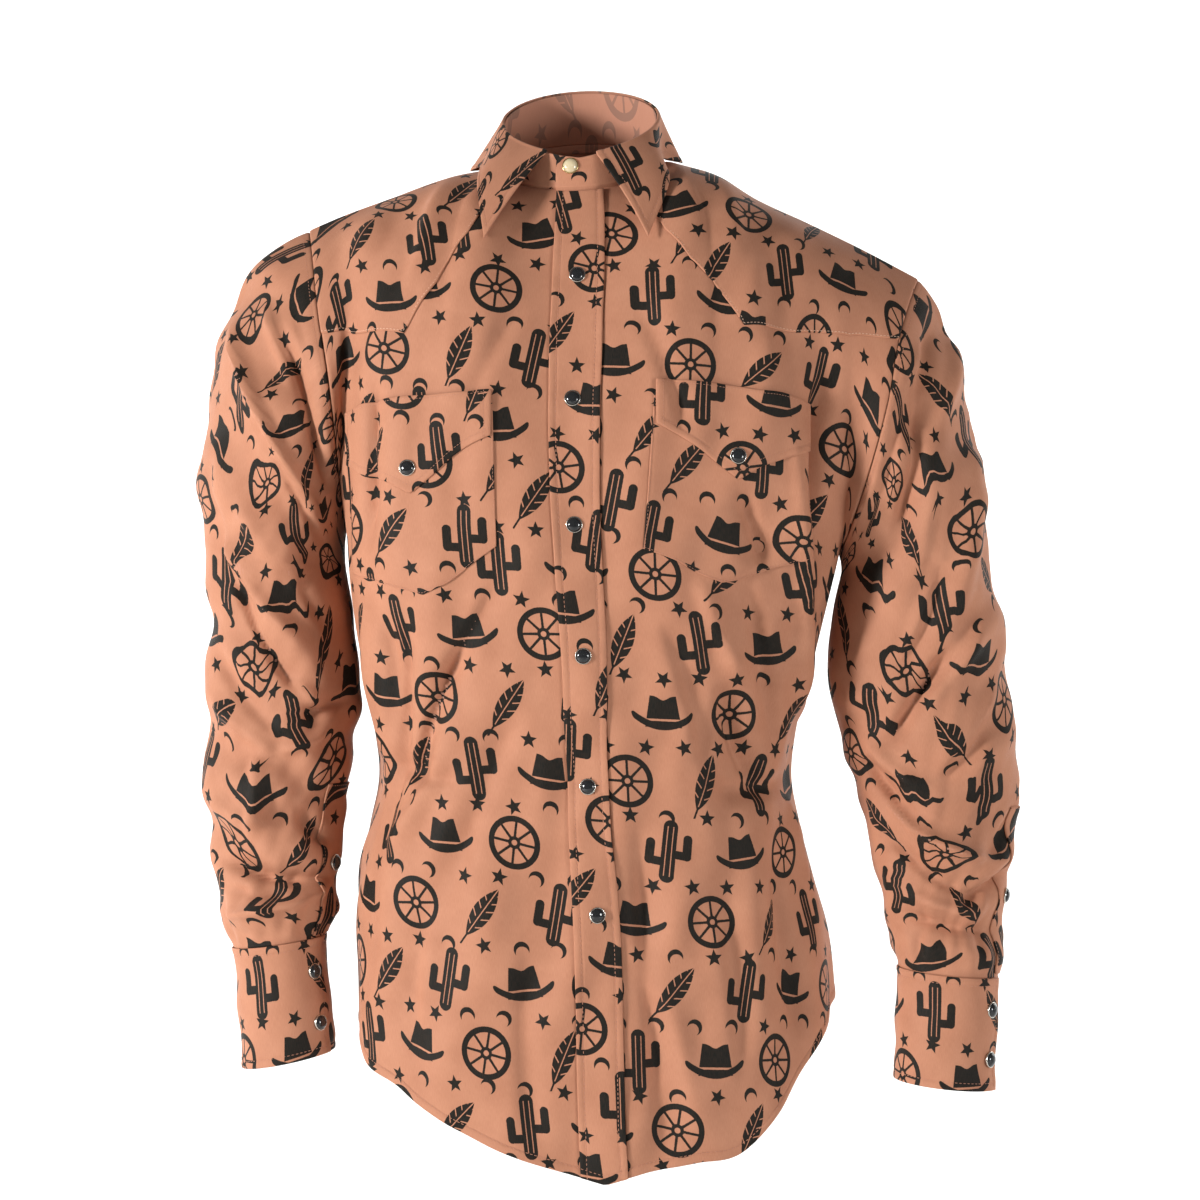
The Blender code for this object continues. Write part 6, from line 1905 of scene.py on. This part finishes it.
@dataclass
class SleeveSet:
    """A sleeve, the placket beside its opening, and its cuff."""

    room: Workroom
    arm: Arm
    wall: float = 0.75
    cap_length: float = 190.0
    tube_length: float = 300.0
    girth: float = 400.0
    cap_stitch: float = 5.5
    placket_span: tuple[float, float] = (1.58, 1.994)
    placket_size: tuple[float, float] = (26.0, 125.0)
    placket_height: float = 1.5
    placket_cloth: float = 1.0
    placket_stitch: float = 1.8
    cuff_girth: float = 290.0
    cuff_height: float = 88.0
    cuff_cloth: float = 1.4
    cuff_stitch: float = 6.0
    under_cuff: tuple[tuple[float, float], ...] = ((0.8, -0.8), (1.8, -3.5), (2.1, -12.0))

    @property
    def placket_turns(self) -> tuple[float, float]:
        """Edges of the sleeve placket round the arm."""
        return (0.385, 0.485) if self.arm.side is Side.RIGHT else (-0.02, 0.078)

    def cloth_at(self, grid: Array, u: Array) -> Array:
        """Cloth coordinates: share of the row's length, and length up from the cuff."""
        across, along = lengths(grid, 1), lengths(grid, 0)
        around = across[:, -1:] * (u - u[:, :1]) / (u[:, -1:] - u[:, :1])
        return np.stack([around - across[:, -1:] / 2, along[-1:] - along], axis=-1) * MM

    def sleeve(self, cut: Cut) -> bpy.types.Object:
        """The sleeve, closed by a seam along the inside of the arm."""
        side = self.arm.side
        u = spaced(128, self.girth, SEAM_LINES) - 0.5
        w = np.concatenate([spaced(56, self.cap_length, (*EDGE_LINES, 5.0, 6.5))[:-6],
                            1 + spaced(100, self.tube_length, EDGE_LINES)[4:]])
        u, w = np.meshgrid(u, w)
        grid = self.arm.worn()(u, w)
        inward = unit((grid.mean(axis=1, keepdims=True) - grid)[-1:] * LEVEL)
        turned = carried_on(grid[-1:], inward, self.under_cuff)
        grid = np.concatenate([grid, *turned])
        u = np.concatenate([u] + [u[-1:]] * len(turned))
        outward = grid - grid.mean(axis=1, keepdims=True)
        first, last, top, bottom = edge_distances(grid)
        relief = -0.5 * bell(np.minimum(first, last), 1.5) - 0.5 * bell(top, 1.2)
        relief = relief - 0.25 * bell(top - self.cap_stitch, 0.9) - 0.3 * bell(bottom, 1.2)
        uv = self.cloth_at(grid, u) + (np.array([0.04, 0.02]) if side is Side.RIGHT else 0.0)
        skin = Skin("sleeve_" + side.value, grid, outward, uv, self.wall, relief)
        rows = [Row(self.cap_stitch, 2, 0.12, 0.88)]
        return self.room.cloth(skin, cut, skin.sewn(rows, length=2.2, radius=0.24))

    def placket(self, cut: Cut) -> bpy.types.Object:
        """The narrow band beside the sleeve's opening."""
        (low, high), (start, end) = self.placket_turns, self.placket_span
        width, length = self.placket_size
        u, w = np.meshgrid(
            low + (high - low) * spaced(8, width, (0.3, 0.9, 1.6, 2.4, 3.6)),
            start + (end - start) * spaced(56, length, (0.3, 0.9, 1.8, 3.0)))
        base = self.arm.worn()(u, w)
        centre = (self.arm.tube(0 * w, w) + self.arm.tube(0 * w + 0.5, w)) / 2
        normals = outward_normals(base, base - centre)
        first, last, top, _ = edge_distances(base)
        near = nearest(first, last, top)
        relief = groove(near, self.placket_stitch, 0.25, 0.6) - 0.35 * bell(near, 0.7)
        grid = base + normals * self.placket_height
        side = self.arm.side.value
        skin = Skin("sleeve_placket_" + side, grid, base - centre,
                    self.cloth_at(grid, u) + np.array([0.031, 0.012]), self.placket_cloth, relief)
        rows = [Row(self.placket_stitch, 0), Row(self.placket_stitch, 1),
                Row(self.placket_stitch, 2, 0.08, 0.92)]
        stitches = skin.sewn(rows, normals, length=1.9, radius=0.22, pitch=2.6)
        return self.room.cloth(skin, cut, stitches, "sleeve_" + side)

    def cuff(self, cut: Cut) -> bpy.types.Object:
        """The cuff band, with faint creases across it, stitched near every edge."""
        wrist, side, close = Wrist(self.arm), self.arm.side, (0.3, 0.9, 3.0, 5.3, 6.0, 6.8, 8.5)
        turn, f = np.meshgrid(spaced(96, 300.0, close), spaced(26, self.cuff_height, close))
        grid = wrist.point(turn, f)
        first, last, top, bottom = edge_distances(grid)
        relief = groove(nearest(top, bottom, first, last), self.cuff_stitch, 0.35, 0.8)
        girth = self.cuff_girth * turn
        ripple = Ripple(seed=41 if side is Side.RIGHT else 43, height=1.1, shortest=20.0,
                        longest=70.0, upright=0.3)
        waves = ripple.at(self.cuff_height * f, girth)
        relief = relief + waves * ease(2.0, 14.0, np.minimum(top, bottom))
        uv = np.stack([side.sign * wrist.turning * girth, -self.cuff_height * f], axis=-1) * MM
        skin = Skin("cuff_" + side.value, grid, grid - grid.mean(axis=1, keepdims=True),
                    uv + np.array([0.022, 0.055]), self.cuff_cloth, relief)
        rows = [Row(self.cuff_stitch, 2, 0.03, 0.97), Row(self.cuff_stitch, 3, 0.03, 0.97),
                Row(self.cuff_stitch, 1, 0.08, 0.92)]
        return self.room.cloth(skin, cut, skin.sewn(rows, length=2.2, radius=0.26),
                               "sleeve_" + side.value)


@dataclass
class Collar:
    """The collar stand and the folded collar on it."""

    room: Workroom
    neck: Neck
    length: float = 430.0
    stand_height: float = 26.0
    fall_height: float = 60.0
    cloth: float = 1.5
    stand_stitch: float = 2.0
    stitch: float = 6.0
    under_seam: tuple[tuple[float, float], ...] = ((2.2, -7.0), (1.8, -3.0), (0.8, -0.9))
    over_fold: tuple[tuple[float, float], ...] = ((-0.3, 2.0), (0.8, 2.0), (1.9, 1.4))

    def stand(self, cut: Cut) -> bpy.types.Object:
        """The stand, wound round the neck with rounded front ends."""
        share, f = np.meshgrid(spaced(120, self.length, (*SEAM_LINES, 4.5, 7.0)),
                               spaced(10, self.stand_height, (0.3, 0.9, 2.0, 3.2)))
        angle = self.neck.under_end - share * (2 * np.pi + self.neck.overlap)
        grid = self.neck.stand(angle, f * self.neck.stand_end(share))
        turned = carried_on(grid[:1], unit(-grid[:1] * LEVEL), self.under_seam)
        grid = np.concatenate([*turned, grid])
        share = np.concatenate([share[:1]] * len(turned) + [share])
        f = np.concatenate([f[:1] + rise / self.stand_height for _, rise in self.under_seam] + [f])
        _, _, low, high = edge_distances(grid)
        relief = groove(np.minimum(low, high), self.stand_stitch, 0.25, 0.6)
        uv = np.stack([-self.length * share, self.stand_height * f], axis=-1) * MM
        skin = Skin("collar_stand", grid, from_axis(grid, 0.0), uv + np.array([0.02, 0.045]),
                    self.cloth, relief)
        rows = [Row(self.stand_stitch, 2, 0.80, 0.99)]
        return self.room.cloth(skin, cut, skin.sewn(rows, length=2.0, radius=0.22, pitch=2.8))

    def fall(self, cut: Cut) -> bpy.types.Object:
        """The folded collar, stitched along its free edges."""
        close = (0.3, 0.9, 3.0, 5.2, 6.0, 6.8, 8.6)
        share, f = np.meshgrid(spaced(116, 440.0, close), spaced(22, self.fall_height, close))
        grid = self.neck.fall(share, f)
        start, end = self.neck.ends
        angle = start + (end - start) * share[:1] - 2 * np.pi
        over = [self.neck.stand(angle, 1 + 0 * angle, out) + np.array([0.0, 0.0, up])
                for out, up in self.over_fold]
        grid = np.concatenate([*over, grid])
        share = np.concatenate([share[:1]] * len(over) + [share])
        f = np.concatenate([f[:1]] * len(over) + [f])
        first, last, _, edge = edge_distances(grid)
        relief = groove(nearest(first, last, edge), self.stitch, 0.32, 0.8)
        uv = np.stack([self.length * share, -self.fall_height * f], axis=-1) * MM
        skin = Skin("collar", grid, from_axis(grid, 0.0) + np.array([0.0, 0.0, 30.0]),
                    uv + np.array([0.012, 0.041]), self.cloth, relief)
        rows = [Row(self.stitch, 3, 0.02, 0.98), Row(self.stitch, 0, 0.1, 0.9),
                Row(self.stitch, 1, 0.1, 0.9)]
        return self.room.cloth(skin, cut, skin.sewn(rows, length=2.2, radius=0.24),
                               "collar_stand")


@dataclass
class Snaps:
    """Domed snap caps, each in a thin metal ring."""

    room: Workroom
    sides: int = 32
    seat: float = 0.1
    placket_levels: tuple[float, ...] = (-77.0, -170.0, -264.0, -361.0, -458.0, -553.0)
    right_flap: tuple[float, float] = (-127.0, -222.0)
    left_flap: tuple[float, float] = (118.0, -213.0)
    sleeve_level: float = 1.80
    cuff_levels: tuple[float, float] = (0.28, 0.72)
    cuff_seat: float = 0.2
    collar_place: tuple[float, float] = (-0.11, 0.68)

    def profiles(self) -> tuple[Table, Table]:
        """Turned profiles of the ring and of the cap: radius and height."""
        ring = table("radius height", [
            (6.2, -0.5), (6.25, 0.4), (6.1, 0.9), (5.8, 1.15), (5.45, 1.1), (5.3, 0.8)])
        cap = table("radius height", [
            (5.4, 0.3), (5.35, 0.95), (5.1, 1.5), (4.6, 2.1), (3.8, 2.65), (2.8, 3.05),
            (1.6, 3.3), (0.5, 3.38)])
        return ring, cap

    def cap(self, node: str, seat: Array, normal: Array, pearl: bool = False) -> bpy.types.Object:
        """Turn both profiles about the snap's own axis and close them with a point each.

        Args:
            node: CAD node that the snap stands for.
            seat: place on the cloth.
            normal: the snap's axis.
            pearl: whether the cap is pearl in a gold ring, and not black in a silver one.

        Returns:
            The snap.
        """
        side = unit(np.cross(normal, [0.0, 0.0, 1.0]))
        up = np.cross(side, normal)
        angle = np.linspace(0, 2 * np.pi, self.sides, endpoint=False)
        around = side * np.cos(angle)[:, None] + up * np.sin(angle)[:, None]
        points, faces, kinds, start = [], [], [], 0
        for kind, profile in enumerate(self.profiles()):
            radius, height = profile["radius"], profile["height"] + self.seat
            rings = seat + radius[:, None, None] * around + height[:, None, None] * normal
            ends = seat + normal * np.array([height[0], height[-1] + 0.02])[:, None]
            points += [rings.reshape(-1, 3), ends]
            faces.append(start + turned_faces(len(radius), self.sides))
            kinds.append(np.full(len(faces[-1]), kind))
            start += len(radius) * self.sides + len(ends)
        finishes = self.room.finishes
        pair = [finishes.gold, finishes.pearl] if pearl else [finishes.ring, finishes.black]
        thing = make_object("shirt_" + node, np.concatenate(points), np.concatenate(faces), pair,
                            kinds=np.concatenate(kinds))
        return self.room.enter(thing, "pearl_snap" if pearl else "black_snap", node)

    def on(self, node: str, shape: Shape, u: float, v: float, height: float, turn: float) -> None:
        """Seat a snap above a surface."""
        u, v = np.array(float(u)), np.array(float(v))
        normal = turn * normals_of(shape, u, v, 0.01)
        self.cap(node, shape(u, v) + normal * height, normal)

    def front(self, body: Body, pockets: Pockets) -> None:
        """Snaps of the placket and of the pocket flaps."""
        torso = self.room.torso
        shape = torso.worn(Face.FRONT)
        levels = np.array(self.placket_levels)
        _, t = torso.locate(np.interp(levels, torso.levels["z"], torso.levels["centre_x"]), levels)
        for number, value in enumerate(t, start=1):
            self.on(f"snap_placket_{number}", shape, 0.0, value, body.placket_height, 1.0)
        for side, place in ((Side.RIGHT, self.right_flap), (Side.LEFT, self.left_flap)):
            u, t = torso.locate(*[np.array([k]) for k in place])
            self.on("snap_pocket_" + side.value, shape, u[0], t[0], pockets.flap_height, 1.0)

    def arms(self, sleeves: SleeveSet) -> None:
        """Snaps of the sleeve placket and of the cuff."""
        arm = sleeves.arm
        self.on("snap_sleeve_" + arm.side.value, arm.worn(), sum(sleeves.placket_turns) / 2,
                self.sleeve_level, sleeves.placket_height, arm.side.sign)
        wrist = Wrist(arm)
        turn = 1 - wrist.overlap / 2
        for number, f in enumerate(self.cuff_levels, start=1):
            before, place, after = (wrist.point(turn + k, f) for k in (-0.01, 0.0, 0.01))
            normal = unit(np.cross(after - before, wrist.point(turn, f + 0.05) - place))
            middle = wrist.ring(np.array([0.0, 0.5]), np.array(f)).mean(axis=0)
            normal = normal * np.sign(np.dot(normal, place - middle))
            self.cap(f"snap_cuff_{arm.side.value}_{number}", place + normal * self.cuff_seat,
                     normal)

    def neck(self, neck: Neck) -> None:
        """The pearl snap on the collar stand."""
        angle, f = self.collar_place[0] - 2 * np.pi, self.collar_place[1]
        place = neck.stand(angle, f)
        along, up = neck.stand(angle + 0.05, f) - place, neck.stand(angle, f + 0.2) - place
        normal = unit(np.cross(along, up))
        self.cap("snap_collar", place, normal, True)


@dataclass
class Studio:
    """Pale round room, soft lights and the camera."""

    finish: Plaster = Plaster()
    eye: tuple[float, float, float] = (0.0156, -2.4, -0.3198)
    lens: float = 92.3
    sensor: float = 36.0
    floor_z: float = -1.4
    radius: float = 4.6
    bend: float = 1.2
    wall: float = 3.4

    def room(self) -> bpy.types.Object:
        """Round floor with a wall behind: a bent profile given a turn, sunk flat in front."""
        bend = np.linspace(0, np.pi / 2, 17)
        flat = np.linspace(0.0, self.radius - self.bend, 12)
        out = np.concatenate([flat, self.radius - self.bend + self.bend * np.sin(bend[1:]),
                              [self.radius]])
        up = np.concatenate([0 * flat, self.bend * (1 - np.cos(bend[1:])), [self.wall]])
        angle = np.linspace(0, 2 * np.pi, 97)
        up = up[:, None] * ease(-0.35, 0.35, np.sin(angle))
        grid = np.stack([out[:, None] * np.cos(angle), out[:, None] * np.sin(angle),
                         self.floor_z + up], axis=-1)
        index = np.arange(grid.shape[0] * grid.shape[1]).reshape(grid.shape[:2])
        thing = make_object("room", grid.reshape(-1, 3) / MM, quads(index), [self.finish.build()])
        return thing

    def light(self, name: str, place: tuple[float, float, float], aim: tuple[float, float, float],
              size: float, power: float) -> None:
        """Add one soft area light that looks at a point."""
        data = bpy.data.lights.new(name, "AREA")
        data.shape, data.size, data.energy = "DISK", size, power
        lamp = add_object(name, data)
        lamp.location = place
        lamp.rotation_euler = self.facing(np.array(aim) - np.array(place))

    @staticmethod
    def facing(toward: Array) -> tuple[float, float, float]:
        """Rotation that turns -Z toward a direction: a tilt about X, then a turn about Z."""
        flat = float(np.hypot(toward[0], toward[1]))
        return (float(np.arctan2(flat, -toward[2])), 0.0, float(np.arctan2(-toward[0], toward[1])))

    def build(self) -> None:
        """Set the room, the lights, the camera and the sky."""
        self.room()
        middle = (0.02, 0.0, -0.35)
        self.light("key", (-2.8, -1.8, 0.0), middle, 0.7, 142.0)
        self.light("fill", (2.6, -2.2, -0.3), middle, 1.0, 54.0)
        self.light("rim", (0.5, 2.4, 1.4), middle, 1.6, 14.0)
        for name, side in (("wall_right", -1.0), ("wall_left", 1.0)):
            self.light(name, (2.2 * side, 0.9, 0.6), (0.6 * side, 4.6, -0.4), 1.4, 110.0)
        world = bpy.data.worlds.new("sky")
        world.use_nodes = True
        sky = world.node_tree.nodes["Background"]
        sky.inputs["Color"].default_value = (1.0, 1.0, 1.0, 1.0)
        sky.inputs["Strength"].default_value = 0.14
        bpy.context.scene.world = world
        data = bpy.data.cameras.new("camera")
        data.lens, data.sensor_width = self.lens, self.sensor
        camera = add_object("camera", data)
        camera.location = self.eye
        camera.rotation_euler = (np.pi / 2, 0.0, 0.0)
        bpy.context.scene.camera = camera


def main() -> None:
    """Build the shirt piece by piece, then the studio."""
    logging.basicConfig(level=logging.INFO, format="%(message)s")
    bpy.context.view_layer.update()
    Studio().build()
    torso = Torso()
    room = Workroom(Finishes(), torso)
    body, yokes, pockets, snaps = Body(room), Yokes(room), Pockets(room), Snaps(room)
    neck = Neck(torso)
    collar = Collar(room, neck)
    body.front(Side.RIGHT, Cut(0.33, 0.83, 0.190))
    body.front(Side.LEFT, Cut(0.27, 0.83, 0.160))
    body.back(Cut(0.59, 0.86, 0.350))
    body.placket(Cut(0.036, 0.76, 0.027))
    yokes.back(Cut(0.52, 0.26, 0.080))
    for side in Side:
        yokes.front(side, Cut(0.20, 0.18, 0.0235))
        for patch, cut in zip(patches(side), (Cut(0.13, 0.15, 0.0170), Cut(0.13, 0.08, 0.0072))):
            pockets.place(patch, cut)
        sleeves = SleeveSet(room, Arm(side, torso))
        sleeves.sleeve(Cut(0.48, 0.58, 0.175))
        sleeves.placket(Cut(0.028, 0.13, 0.0035))
        sleeves.cuff(Cut(0.285, 0.09, 0.0245))
        snaps.arms(sleeves)
    collar.stand(Cut(0.44, 0.042, 0.0145, Held.STRETCHED))
    collar.fall(Cut(0.44, 0.075, 0.0195, Held.FOLDED))
    snaps.front(body, pockets)
    snaps.neck(neck)
    log.info("%d pieces", room.pieces)
    bpy.context.scene.view_settings.view_transform = "Standard"
    bpy.context.view_layer.update()


if __name__ == "__main__":
    main()
